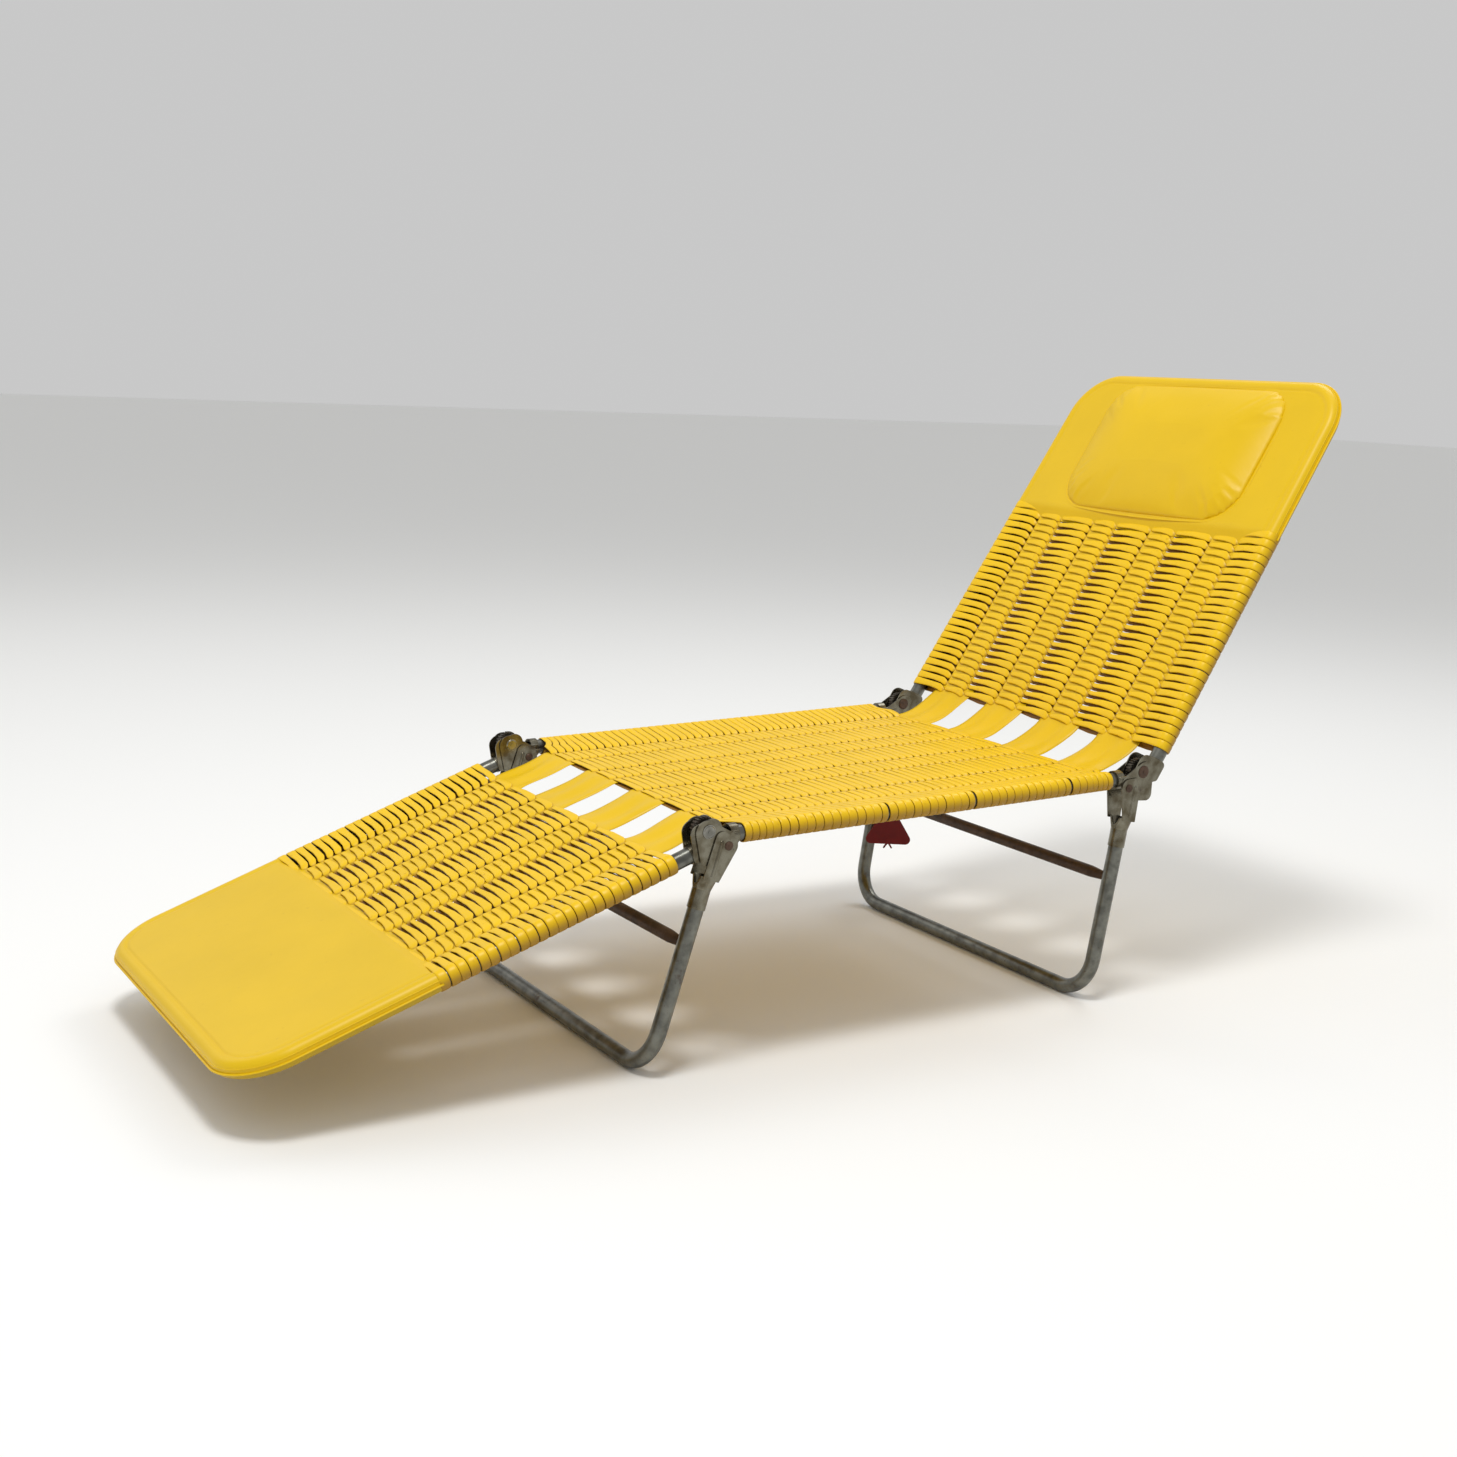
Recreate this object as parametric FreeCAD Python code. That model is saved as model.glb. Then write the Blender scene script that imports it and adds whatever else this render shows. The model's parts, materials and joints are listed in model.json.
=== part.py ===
"""Reclining sun lounger: a three-section folding frame of round steel tube, woven with flat PVC strip.

Frame: +Z up, +Y towards the head, +X towards the sitter's left. The origin is on the floor, under
the middle of the length and of the width. Every piece is written to parts/NODE.step in place, at rest.

Each group is modelled about its own pivot and then placed:
  seat     y along the seat from the foot hinge, z square to it, origin on the foot hinge's rivet
  section  y along the section away from its hinge, z square to it, origin on the hinge's rivet
  leg      z up along the leg, y towards the middle of the seat, origin on the leg's rivet
"""
import FreeCAD, Part
import math
import os

from FreeCAD import Placement, Rotation, Vector

# ---- overall layout, in millimetres and degrees ----
SEAT_SPAN = 678.4            # from the foot hinge to the back hinge
FRONT_HINGE_HEIGHT = 298.6   # foot hinge rivet above the floor
SEAT_SLOPE = 1.8             # the seat rises towards the head
FOOT_LENGTH = 590.0          # hinge to the axis of the end tube
BACK_LENGTH = 620.0
FOOT_DROOP = 20.2            # foot section below the horizontal at rest
BACK_RISE = 57.6             # back section above the horizontal at rest
RAIL_HALF_SPACING = 270.0    # tube axes at the hinges, each side of the middle
END_HALF_SPACING = 258.0     # tube axes at the outer ends of the two U frames
TAPER_START = 40.0           # where the U frames start to narrow, from the hinge
FRAME_CORNER = 62.0          # bend radius of the U frames, at the tube's axis

# ---- tube ----
TUBE_RADIUS = 10.0
TUBE_WALL = 1.2
FIT = 0.05                   # radial clearance of tubes in sleeves and of rivets in holes
CLEAR = 0.3                  # clearance between neighbouring pieces that don't touch

# ---- hinge set ----
PIVOT_RISE = 9.5             # hinge rivet above the seat rail's axis
SECTION_DROP = 21.5          # section tube's axis below the hinge rivet, square to the section
SHEET = 1.6                  # pressed steel sheet
COLLAR_WALL = 1.2            # section bracket's collar round its tube
HINGE_RIVET_RADIUS = 4.0
HINGE_HEAD_RADIUS = 8.5
HINGE_HEAD_HEIGHT = 2.2
COLLAR_START = 3.0           # along the section
COLLAR_END = 28.0
RAIL_START = 32.0            # end of the seat rail, from the hinge rivet
SLEEVE_END = 43.0            # end of the seat bracket's sleeve
SLEEVE_WALL = 2.6
WHEEL_RADIUS = 16.5          # ratchet wheel, over its teeth
WHEEL_TOOTH_DEPTH = 1.9
WHEEL_TEETH = 24
WHEEL_HALF_THICKNESS = 4.0
SPACER_RADIUS = 7.0
KEY_PIN_RADIUS = 2.0
KEY_PIN_PLACE = (8.0, 4.0)   # along and above the section, from the hinge rivet
SPRING_WIDTH = 10.0
SPRING_THICKNESS = 1.0
SPRING_NOSE_ANGLE = -19.0    # direction of the spring's nose from the hinge rivet
SPRING_NOSE_DEPTH = 0.9      # how far the nose sits down between two teeth

# ---- legs ----
LEG_PIVOT_IN = 26.0          # leg rivet from the hinge rivet, along the seat
LEG_PIVOT_DROP = 19.6        # leg rivet below the hinge rivet
LEG_RIVET_RADIUS = 3.0
LEG_HEAD_RADIUS = 5.5
LEG_HEAD_HEIGHT = 1.7
FRONT_LEG_LEAN = 16.1        # both pairs lean with their feet towards the foot end
REAR_LEG_LEAN = 8.2
LEG_OFFSET = 10.5            # leg tube's axis, outward from the leg rivet
LEG_TUBE_TOP = 54.0          # upper end of the leg tube, below the leg rivet
LEG_TAPER_START = 90.0
LEG_FOOT_HALF_SPACING = 267.0
LEG_CORNER = 52.0            # bend radius at the floor, at the tube's axis
FORK_SHOULDER = 42.0         # where the fork starts to narrow, below the leg rivet
FORK_NECK = 58.0             # where it has become a sleeve round the tube
FORK_END = 82.0
CROSSBAR_DROP = 126.0        # crossbar's axis below the leg rivet, along the leg
CROSSBAR_RADIUS = 8.0
CROSSBAR_TAPER = 26.0        # length of each pinched end
CROSSBAR_TIP_HEIGHT = 10.0
CROSSBAR_TIP_THICKNESS = 4.0

# ---- woven panels, straps and covers ----
WRAP_THICKNESS = 2.5         # strip wound round a rail
WEAVE_THICKNESS = 6.0        # between the rails
WEAVE_START = 50.0           # first strip from the hinge, on both sections and both ends of the seat
SEAT_WEAVE_INSET = 40.0      # first strip of the seat between the rails
FOOT_WEAVE_END = 356.0
BACK_WEAVE_END = 380.0
STRAP_PITCH = 124.0          # four lengthwise straps, evenly spaced
STRAP_COUNT = 4
STRAP_WIDTH = 50.0           # inside the weave
STRAP_THICKNESS = 2.0
BRIDGE_WIDTH = 84.0          # flat between two sections
BRIDGE_LEAD = 16.0           # straight stretch at each end of a bridge
BRIDGE_BEND = 18.0
COVER_WALL = 1.2
SEAM_WIDTH = 2.4             # welded edge that stands out round a cover
SEAM_THICKNESS = 1.8
PILLOW_WIDTH = 365.0
PILLOW_LENGTH = 218.0
PILLOW_THICKNESS = 20.0
PILLOW_CORNER = 50.0
PILLOW_EDGE = 9.0
PILLOW_END_GAP = 8.0         # from the pillow to the axis of the end tube

# ---- hanging tag ----
TAG_PLACE = 232.0            # along the rear crossbar, towards the sitter's right
TAG_TURN = 58.0              # about the vertical
TAG_WIDTH = 70.0
TAG_HEIGHT = 60.0
TAG_THICKNESS = 2.0
TAG_CORNER = 8.0
TAG_HOLE = 4.5
TAG_PRONG = 8.0
RING_WIRE = 1.0              # radius of the ring's wire
RING_RADIUS = 13.0           # of the ring, at the wire's axis
RING_TURN = 30.0             # about the vertical, so that it goes square through the plate

# ---- worked out from the above ----
SIDES = (("left", 1), ("right", -1))
COLLAR_RADIUS = TUBE_RADIUS + COLLAR_WALL
CHEEK_INNER = COLLAR_RADIUS + CLEAR
CHEEK_OUTER = CHEEK_INNER + SHEET
EAR_INNER = CHEEK_OUTER + CLEAR
EAR_OUTER = EAR_INNER + SHEET
WRAP_RADIUS = TUBE_RADIUS + WRAP_THICKNESS
COVER_RADIUS = TUBE_RADIUS + CLEAR + COVER_WALL
RAIL_HEIGHT = -PIVOT_RISE
STRAP_PLACES = [STRAP_PITCH * (i - (STRAP_COUNT - 1) / 2) for i in range(STRAP_COUNT)]
SEAT_DIRECTION = Vector(0, math.cos(math.radians(SEAT_SLOPE)), math.sin(math.radians(SEAT_SLOPE)))
SEAT_NORMAL = Vector(0, -SEAT_DIRECTION.z, SEAT_DIRECTION.y)
FOOT_HINGE = Vector(0, 0, FRONT_HINGE_HEIGHT)
BACK_HINGE = FOOT_HINGE + SEAT_DIRECTION * SEAT_SPAN
FRONT_LEG_PIVOT = FOOT_HINGE + SEAT_DIRECTION * LEG_PIVOT_IN - SEAT_NORMAL * LEG_PIVOT_DROP
REAR_LEG_PIVOT = BACK_HINGE - SEAT_DIRECTION * LEG_PIVOT_IN - SEAT_NORMAL * LEG_PIVOT_DROP

X_AXIS = Vector(1, 0, 0)
Y_AXIS = Vector(0, 1, 0)
Z_AXIS = Vector(0, 0, 1)
MUCH = 2.0 * TUBE_RADIUS     # how far a cutting tool runs past what it cuts


# ---- placing a group at rest ----
def turned(shape, half_turn, angle, pivot):
    """The shape turned half round the vertical if asked, then by an angle about X, then moved to a pivot."""
    result = shape.copy()
    spin = Rotation(X_AXIS, angle).multiply(Rotation(Z_AXIS, 180.0 if half_turn else 0.0))
    result.Placement = Placement(pivot, spin).multiply(result.Placement)
    return result


def as_seat(shape):
    return turned(shape, False, SEAT_SLOPE, FOOT_HINGE)


def as_foot(shape):
    return turned(shape, True, FOOT_DROOP, FOOT_HINGE)


def as_back(shape):
    return turned(shape, False, BACK_RISE, BACK_HINGE)


def as_front_legs(shape):
    return turned(shape, False, -FRONT_LEG_LEAN, FRONT_LEG_PIVOT)


def as_rear_legs(shape):
    return turned(shape, True, -REAR_LEG_LEAN, REAR_LEG_PIVOT)


def moved(shape, x=0.0, y=0.0, z=0.0):
    result = shape.copy()
    result.translate(Vector(x, y, z))
    return result


def at_rear(shape):
    """A seat piece of the foot hinge, mirrored to the back hinge."""
    return shape.mirror(Vector(0, SEAT_SPAN / 2, 0), Y_AXIS)


def rounded_wire(points, bend):
    """Straight runs through the points, joined at each inner point by a tangent arc of radius bend."""
    edges = []
    last = points[0]
    for before, corner, after in zip(points, points[1:], points[2:]):
        into = (corner - before).normalize()
        out = (after - corner).normalize()
        half = into.getAngle(out) / 2
        reach = bend * math.tan(half)
        start = corner - into * reach
        end = corner + out * reach
        middle = corner + (out - into).normalize() * (bend / math.cos(half) - bend)
        edges.append(Part.LineSegment(last, start).toShape())
        edges.append(Part.Arc(start, middle, end).toShape())
        last = end
    edges.append(Part.LineSegment(last, points[-1]).toShape())
    return Part.Wire(edges)


def bar_along(path, radius):
    start = path.Edges[0].valueAt(path.Edges[0].FirstParameter)
    heading = path.Edges[0].tangentAt(path.Edges[0].FirstParameter)
    circle = Part.Wire(Part.Circle(start, heading, radius).toShape())
    return path.makePipe(Part.Face(circle))


def tube_along(path):
    return bar_along(path, TUBE_RADIUS).cut(bar_along(path, TUBE_RADIUS - TUBE_WALL))


def strip_along(path, width, thickness):
    """A flat strip of this width across X, swept along a path in the YZ plane."""
    start = path.Edges[0].valueAt(path.Edges[0].FirstParameter)
    heading = path.Edges[0].tangentAt(path.Edges[0].FirstParameter)
    up = X_AXIS.cross(heading).normalize() * (thickness / 2)
    side = X_AXIS * (width / 2)
    corners = [start + side + up, start - side + up, start - side - up, start + side - up]
    return path.makePipe(Part.Face(Part.makePolygon(corners + corners[:1])))


def disc_hull(discs, x_low, x_high):
    """A flat plate from x_low to x_high whose outline is a band pulled tight round discs.

    discs are (y, z, radius), anticlockwise seen from +X. The outline is their outer tangents and arcs.
    """
    count = len(discs)
    normals = []
    for i in range(count):
        y1, z1, r1 = discs[i]
        y2, z2, r2 = discs[(i + 1) % count]
        gap = math.hypot(y2 - y1, z2 - z1)
        along = Vector(0, (y2 - y1) / gap, (z2 - z1) / gap)
        right = Vector(0, along.z, -along.y)
        share = (r1 - r2) / gap
        normals.append(along * share + right * math.sqrt(1 - share * share))
    edges = []
    for i in range(count):
        y1, z1, r1 = discs[i]
        y2, z2, r2 = discs[(i + 1) % count]
        centre = Vector(x_low, y1, z1)
        arc_start = centre + normals[i - 1] * r1
        arc_end = centre + normals[i] * r1
        turn = (math.atan2(normals[i].z, normals[i].y) - math.atan2(normals[i - 1].z, normals[i - 1].y))
        middle = math.atan2(normals[i - 1].z, normals[i - 1].y) + (turn % (2 * math.pi)) / 2
        arc_middle = centre + Vector(0, math.cos(middle), math.sin(middle)) * r1
        edges.append(Part.Arc(arc_start, arc_middle, arc_end).toShape())
        edges.append(Part.LineSegment(arc_end, Vector(x_low, y2, z2) + normals[i] * r2).toShape())
    return Part.Face(Part.Wire(edges)).extrude(X_AXIS * (x_high - x_low))


def both_faces(discs, inner, outer):
    """The same plate on both sides of the middle plane of a hinge."""
    return [disc_hull(discs, inner, outer), disc_hull(discs, -outer, -inner)]


def cross_pin(radius, half_length, y=0.0, z=0.0):
    """A plain pin across the hinge, along X."""
    return Part.makeCylinder(radius, 2 * half_length, Vector(-half_length, y, z), X_AXIS)


def rivet(shaft_radius, head_radius, head_height, grip, y=0.0, z=0.0):
    """A rivet along X with a flat domed head, a rim and a raised centre on each side of its grip."""
    rim = 0.35 * head_height
    centre_radius = 0.25 * head_radius
    solids = [cross_pin(shaft_radius, grip + rim, y, z)]
    for way in (1, -1):
        out = X_AXIS * way
        base = Vector(way * grip, y, z)
        solids.append(Part.makeCylinder(head_radius, rim, base, out))
        dome = Part.makeCone(head_radius - rim, head_radius - 2.5 * rim, head_height - 1.5 * rim,
                             base + out * rim, out)
        solids.append(dome)
        tip = base + out * (head_height - 0.5 * rim)
        solids.append(Part.makeCylinder(centre_radius, 0.5 * rim, tip, out))
    return solids[0].fuse(solids[1:])


def fused(solids):
    return solids[0].fuse(solids[1:]).removeSplitter()


# ---- seat group ----
def seat_rail():
    length = SEAT_SPAN - 2 * RAIL_START
    base = Vector(0, RAIL_START, RAIL_HEIGHT)
    outer = Part.makeCylinder(TUBE_RADIUS, length, base, Y_AXIS)
    return outer.cut(Part.makeCylinder(TUBE_RADIUS - TUBE_WALL, length, base, Y_AXIS))


def seat_bracket(lobe):
    """Two pressed cheeks, which carry both rivets, on a sleeve round the end of the rail."""
    leg_boss = (LEG_PIVOT_IN + 1.0, -LEG_PIVOT_DROP + 5.5, 11.0)
    toe = (LEG_PIVOT_IN + 1.0, -LEG_PIVOT_DROP - 9.5, 7.5)
    hinge_boss = (-3.0, -1.0, 14.5)
    solids = both_faces([lobe, toe, leg_boss, hinge_boss], CHEEK_INNER, CHEEK_OUTER)
    sleeve_start = RAIL_START - CLEAR
    base = Vector(0, sleeve_start, RAIL_HEIGHT)
    sleeve_radius = TUBE_RADIUS + SLEEVE_WALL
    solids.append(Part.makeCylinder(sleeve_radius, SLEEVE_END - sleeve_start, base, Y_AXIS))
    rib_radius = 1.7
    rib_start = LEG_PIVOT_IN - 1.0
    rib_length = SLEEVE_END - 3.0 - rib_start
    for way in (1, -1):
        rib_base = Vector(way * (CHEEK_OUTER - rib_radius), rib_start, -4.5)
        solids.append(Part.makeCylinder(rib_radius, rib_length, rib_base, Y_AXIS))
        solids.append(Part.makeSphere(rib_radius, rib_base))
        solids.append(Part.makeSphere(rib_radius, rib_base + Y_AXIS * rib_length))
    body = solids[0].fuse(solids[1:])
    bore = Part.makeCylinder(TUBE_RADIUS + FIT, SLEEVE_END, base, Y_AXIS)
    hinge_hole = cross_pin(HINGE_RIVET_RADIUS, MUCH)
    leg_hole = cross_pin(LEG_RIVET_RADIUS, MUCH, LEG_PIVOT_IN, -LEG_PIVOT_DROP)
    return body.cut([bore, hinge_hole, leg_hole])


def hinge_rivet():
    return rivet(HINGE_RIVET_RADIUS - FIT, HINGE_HEAD_RADIUS, HINGE_HEAD_HEIGHT, CHEEK_OUTER + FIT)


def leg_rivet():
    return rivet(LEG_RIVET_RADIUS - FIT, LEG_HEAD_RADIUS, LEG_HEAD_HEIGHT, EAR_OUTER + FIT,
                 LEG_PIVOT_IN, -LEG_PIVOT_DROP)


def ratchet_spring():
    """A bent leaf: its tail lies in the rail's end, its nose drops between two teeth of the wheel."""
    inner_radius = TUBE_RADIUS - TUBE_WALL
    seat_depth = math.sqrt(inner_radius ** 2 - (SPRING_WIDTH / 2) ** 2)
    tail_height = RAIL_HEIGHT - seat_depth + FIT + SPRING_THICKNESS / 2
    angle = math.radians(SPRING_NOSE_ANGLE)
    nose_way = Vector(0, math.cos(angle), math.sin(angle))
    nose_radius = WHEEL_RADIUS - SPRING_NOSE_DEPTH
    nose_length = 8.0
    tail_length = 18.0
    points = [Vector(0, RAIL_START + tail_length, tail_height),
              Vector(0, LEG_PIVOT_IN + LEG_RIVET_RADIUS, tail_height),
              nose_way * (nose_radius + nose_length),
              nose_way * nose_radius]
    return strip_along(rounded_wire(points, 1.5 * SPRING_THICKNESS), SPRING_WIDTH, SPRING_THICKNESS)


def seat_weave():
    """The woven seat: a slab between the rails, with a sleeve of wound strip round each rail."""
    half = RAIL_HALF_SPACING - TUBE_RADIUS - WRAP_THICKNESS / 2
    length = SEAT_SPAN - 2 * SEAT_WEAVE_INSET
    corner = Vector(-half, SEAT_WEAVE_INSET, RAIL_HEIGHT - WEAVE_THICKNESS / 2)
    slab = Part.makeBox(2 * half, length, WEAVE_THICKNESS, corner)
    room = SLEEVE_END + CLEAR - SEAT_WEAVE_INSET
    notches = []
    for _, sign in SIDES:
        for near in (SEAT_WEAVE_INSET - CLEAR, SEAT_SPAN - SEAT_WEAVE_INSET - room):
            size = 2 * (EAR_OUTER + CLEAR)
            place = Vector(sign * RAIL_HALF_SPACING - size / 2, near, RAIL_HEIGHT - size / 2)
            notches.append(Part.makeBox(size, room + CLEAR, size, place))
    slab = slab.cut(notches)
    sleeves = []
    bores = []
    for _, sign in SIDES:
        base = Vector(sign * RAIL_HALF_SPACING, WEAVE_START, RAIL_HEIGHT)
        run = SEAT_SPAN - 2 * WEAVE_START
        sleeves.append(Part.makeCylinder(WRAP_RADIUS, run, base, Y_AXIS))
        bores.append(Part.makeCylinder(TUBE_RADIUS + FIT, SEAT_SPAN, base - Y_AXIS * WEAVE_START, Y_AXIS))
    channels = strap_channels(0.0, SEAT_SPAN, RAIL_HEIGHT)
    return slab.fuse(sleeves).cut(bores + channels)


def strap_channels(start, end, height):
    """Room for the lengthwise straps inside a woven slab."""
    width = STRAP_WIDTH + 2 * CLEAR
    depth = STRAP_THICKNESS + 2 * CLEAR
    return [Part.makeBox(width, end - start, depth, Vector(x - width / 2, start, height - depth / 2))
            for x in STRAP_PLACES]


def straps(start, end, height):
    """The lengthwise straps inside a woven slab."""
    low = height - STRAP_THICKNESS / 2
    return Part.makeCompound([
        Part.makeBox(STRAP_WIDTH, end - start, STRAP_THICKNESS, Vector(x - STRAP_WIDTH / 2, start, low))
        for x in STRAP_PLACES])


def strap_bridges(seat_end, seat_way, section_end, section_way):
    """Flat straps from the seat's weave to a section's weave, over the gap at the hinge."""
    points = [seat_end, seat_end + seat_way * BRIDGE_LEAD,
              section_end + section_way * BRIDGE_LEAD, section_end]
    strip = strip_along(rounded_wire(points, BRIDGE_BEND), BRIDGE_WIDTH, STRAP_THICKNESS)
    return Part.makeCompound([moved(strip, x) for x in STRAP_PLACES])


def section_point(hinge, angle, flip, along):
    """A point on a section's middle plane, and the unit vector towards its hinge."""
    local = Vector(0, along, -SECTION_DROP)
    spin = Rotation(X_AXIS, angle).multiply(Rotation(Z_AXIS, 180.0 if flip else 0.0))
    return hinge + spin.multVec(local), spin.multVec(Y_AXIS * -1)


def front_bridges():
    seat_end = FOOT_HINGE + SEAT_DIRECTION * SEAT_WEAVE_INSET + SEAT_NORMAL * RAIL_HEIGHT
    section_end, back_way = section_point(FOOT_HINGE, FOOT_DROOP, True, WEAVE_START)
    return strap_bridges(seat_end, SEAT_DIRECTION * -1, section_end, back_way)


def rear_bridges():
    seat_end = BACK_HINGE - SEAT_DIRECTION * SEAT_WEAVE_INSET + SEAT_NORMAL * RAIL_HEIGHT
    section_end, back_way = section_point(BACK_HINGE, BACK_RISE, False, WEAVE_START)
    return strap_bridges(seat_end, SEAT_DIRECTION, section_end, back_way)


# ---- foot and back sections ----
def half_spacing(along, length):
    """Half the distance between a section's side tubes, at a place along it."""
    share = max(0.0, (along - TAPER_START) / (length - TAPER_START))
    return RAIL_HALF_SPACING - share * (RAIL_HALF_SPACING - END_HALF_SPACING)


def section_frame(length):
    """The U of tube, narrowing a little towards its outer end."""
    low = COLLAR_START + FIT
    points = []
    for sign in (1, -1):
        side = [Vector(sign * RAIL_HALF_SPACING, low, -SECTION_DROP),
                Vector(sign * RAIL_HALF_SPACING, TAPER_START, -SECTION_DROP),
                Vector(sign * END_HALF_SPACING, length, -SECTION_DROP)]
        points += side if sign == 1 else side[::-1]
    return tube_along(rounded_wire(points, FRAME_CORNER))


def section_bracket():
    """A pressed collar on the tube's end, with two plates up to the hinge rivet."""
    base = Vector(0, COLLAR_START, -SECTION_DROP)
    collar = Part.makeCylinder(COLLAR_RADIUS, COLLAR_END - COLLAR_START, base, Y_AXIS)
    low = -SECTION_DROP - 3.5
    outline = [(5.0, low, 6.0), (22.0, low, 6.0), (10.5, 0.0, 13.3), (-6.0, 0.0, 12.7)]
    plates = both_faces(outline, COLLAR_RADIUS - SHEET, COLLAR_RADIUS)
    body = collar.fuse(plates)
    bore = Part.makeCylinder(TUBE_RADIUS + FIT, 2 * COLLAR_END, base - Y_AXIS * COLLAR_START, Y_AXIS)
    hinge_hole = cross_pin(HINGE_RIVET_RADIUS, MUCH)
    key_hole = cross_pin(KEY_PIN_RADIUS, MUCH, *KEY_PIN_PLACE)
    return body.cut([bore, hinge_hole, key_hole])


def ratchet_wheel(notch_angle):
    """The toothed wheel between a section bracket's plates, with a notch at this angle."""
    pitch = 360.0 / WHEEL_TEETH
    root = WHEEL_RADIUS - WHEEL_TOOTH_DEPTH
    corners = ((-0.3, WHEEL_RADIUS), (-0.17, root), (0.17, root), (0.3, WHEEL_RADIUS))
    points = []
    for tooth in range(WHEEL_TEETH):
        for share, radius in corners:
            angle = math.radians(notch_angle + pitch * (tooth + share))
            points.append(Vector(-WHEEL_HALF_THICKNESS, radius * math.cos(angle), radius * math.sin(angle)))
    face = Part.Face(Part.makePolygon(points + points[:1]))
    wheel = face.extrude(X_AXIS * (2 * WHEEL_HALF_THICKNESS))
    room_radius = COLLAR_RADIUS + CLEAR
    room = Part.makeCylinder(room_radius, 3 * MUCH, Vector(0, -MUCH, -SECTION_DROP), Y_AXIS)
    hole = cross_pin(HINGE_RIVET_RADIUS, MUCH)
    key_hole = cross_pin(KEY_PIN_RADIUS, MUCH, *KEY_PIN_PLACE)
    return wheel.cut([room, hole, key_hole])


def ratchet_key():
    return cross_pin(KEY_PIN_RADIUS - FIT, COLLAR_RADIUS - FIT, *KEY_PIN_PLACE)


def hinge_spacers():
    """A washer each side of the ratchet wheel, which keeps it in the middle."""
    low = WHEEL_HALF_THICKNESS + FIT
    high = COLLAR_RADIUS - SHEET - FIT
    solids = []
    for start in (low, -high):
        ring = Part.makeCylinder(SPACER_RADIUS, high - low, Vector(start, 0, 0), X_AXIS)
        bore = cross_pin(HINGE_RIVET_RADIUS, MUCH)
        key = cross_pin(KEY_PIN_RADIUS + CLEAR, MUCH, *KEY_PIN_PLACE)
        solids.append(ring.cut([bore, key]))
    return solids


def rail_line(along, length, sign):
    return Vector(sign * half_spacing(along, length), along, -SECTION_DROP)


def section_weave(length, end):
    """A woven section: a slab between the side tubes, with a sleeve of wound strip round each."""
    low = -SECTION_DROP - WEAVE_THICKNESS / 2
    inset = TUBE_RADIUS + WRAP_THICKNESS / 2
    near = half_spacing(WEAVE_START, length) - inset
    far = half_spacing(end, length) - inset
    corners = [Vector(-near, WEAVE_START, low), Vector(near, WEAVE_START, low),
               Vector(far, end, low), Vector(-far, end, low)]
    slab = Part.Face(Part.makePolygon(corners + corners[:1])).extrude(Z_AXIS * WEAVE_THICKNESS)
    sleeves = []
    bores = []
    for _, sign in SIDES:
        first = rail_line(WEAVE_START, length, sign)
        way = rail_line(end, length, sign) - first
        sleeves.append(Part.makeCylinder(WRAP_RADIUS, way.Length, first, way))
        bores.append(Part.makeCylinder(TUBE_RADIUS + FIT, 2 * way.Length, first - way * 0.5, way))
    channels = strap_channels(0.0, length, -SECTION_DROP)
    return slab.fuse(sleeves).cut(bores + channels)


def cover_block(length, start, outset, half_height, edge):
    """The space inside a line drawn round the U frame's end, outset from the tube's axis."""
    slope = (RAIL_HALF_SPACING - END_HALF_SPACING) / (length - TAPER_START)
    side = outset * math.sqrt(1 + slope * slope)
    low = -SECTION_DROP - half_height
    tip = length + outset
    root_half = half_spacing(start, length) + side
    tip_half = half_spacing(length, length) - slope * outset + side
    path = rounded_wire([Vector(root_half, start, low), Vector(tip_half, tip, low),
                         Vector(-tip_half, tip, low), Vector(-root_half, start, low)],
                        FRAME_CORNER + outset)
    closing = Part.LineSegment(Vector(-root_half, start, low), Vector(root_half, start, low)).toShape()
    block = Part.Face(Part.Wire(path.Edges + [closing])).extrude(Z_AXIS * (2 * half_height))
    if edge:
        rims = [e for e in block.Edges
                if abs(e.BoundBox.ZLength) < FIT and e.BoundBox.YMax > start + FIT]
        block = block.makeFillet(edge, rims)
    return block


def cover(length, start):
    """A welded PVC envelope over the frame's end: two skins, closed across its mouth."""
    outer = cover_block(length, start, COVER_RADIUS, COVER_RADIUS, COVER_RADIUS - 0.2)
    inside = COVER_RADIUS - COVER_WALL
    cavity = cover_block(length, start + COVER_WALL, inside, inside, inside - 0.2)
    seam = cover_block(length, start, COVER_RADIUS + SEAM_WIDTH, SEAM_THICKNESS / 2, 0.0)
    bores = []
    for _, sign in SIDES:
        first = rail_line(start, length, sign)
        way = (rail_line(length, length, sign) - first).normalize()
        bores.append(Part.makeCylinder(TUBE_RADIUS + CLEAR, 2 * MUCH, first - way * MUCH, way))
    return outer.fuse(seam).cut([cavity] + bores)


def pillow():
    """The padded head rest, welded on top of the head cover."""
    low = -SECTION_DROP + COVER_RADIUS + CLEAR
    end = BACK_LENGTH - PILLOW_END_GAP
    half = PILLOW_WIDTH / 2
    middle = end - PILLOW_LENGTH / 2
    corners = [Vector(0, end, low), Vector(-half, end, low), Vector(-half, end - PILLOW_LENGTH, low),
               Vector(half, end - PILLOW_LENGTH, low), Vector(half, end, low), Vector(0, end, low)]
    outline = rounded_wire(corners, PILLOW_CORNER)
    block = Part.Face(outline).extrude(Z_AXIS * PILLOW_THICKNESS)
    top = [e for e in block.Edges if e.BoundBox.ZMin > low + PILLOW_THICKNESS - FIT]
    rounded = block.makeFillet(PILLOW_EDGE, top)
    if abs(rounded.BoundBox.Center.y - middle) > CLEAR:
        raise ValueError("the pillow isn't where its seam is")
    return rounded


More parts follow.
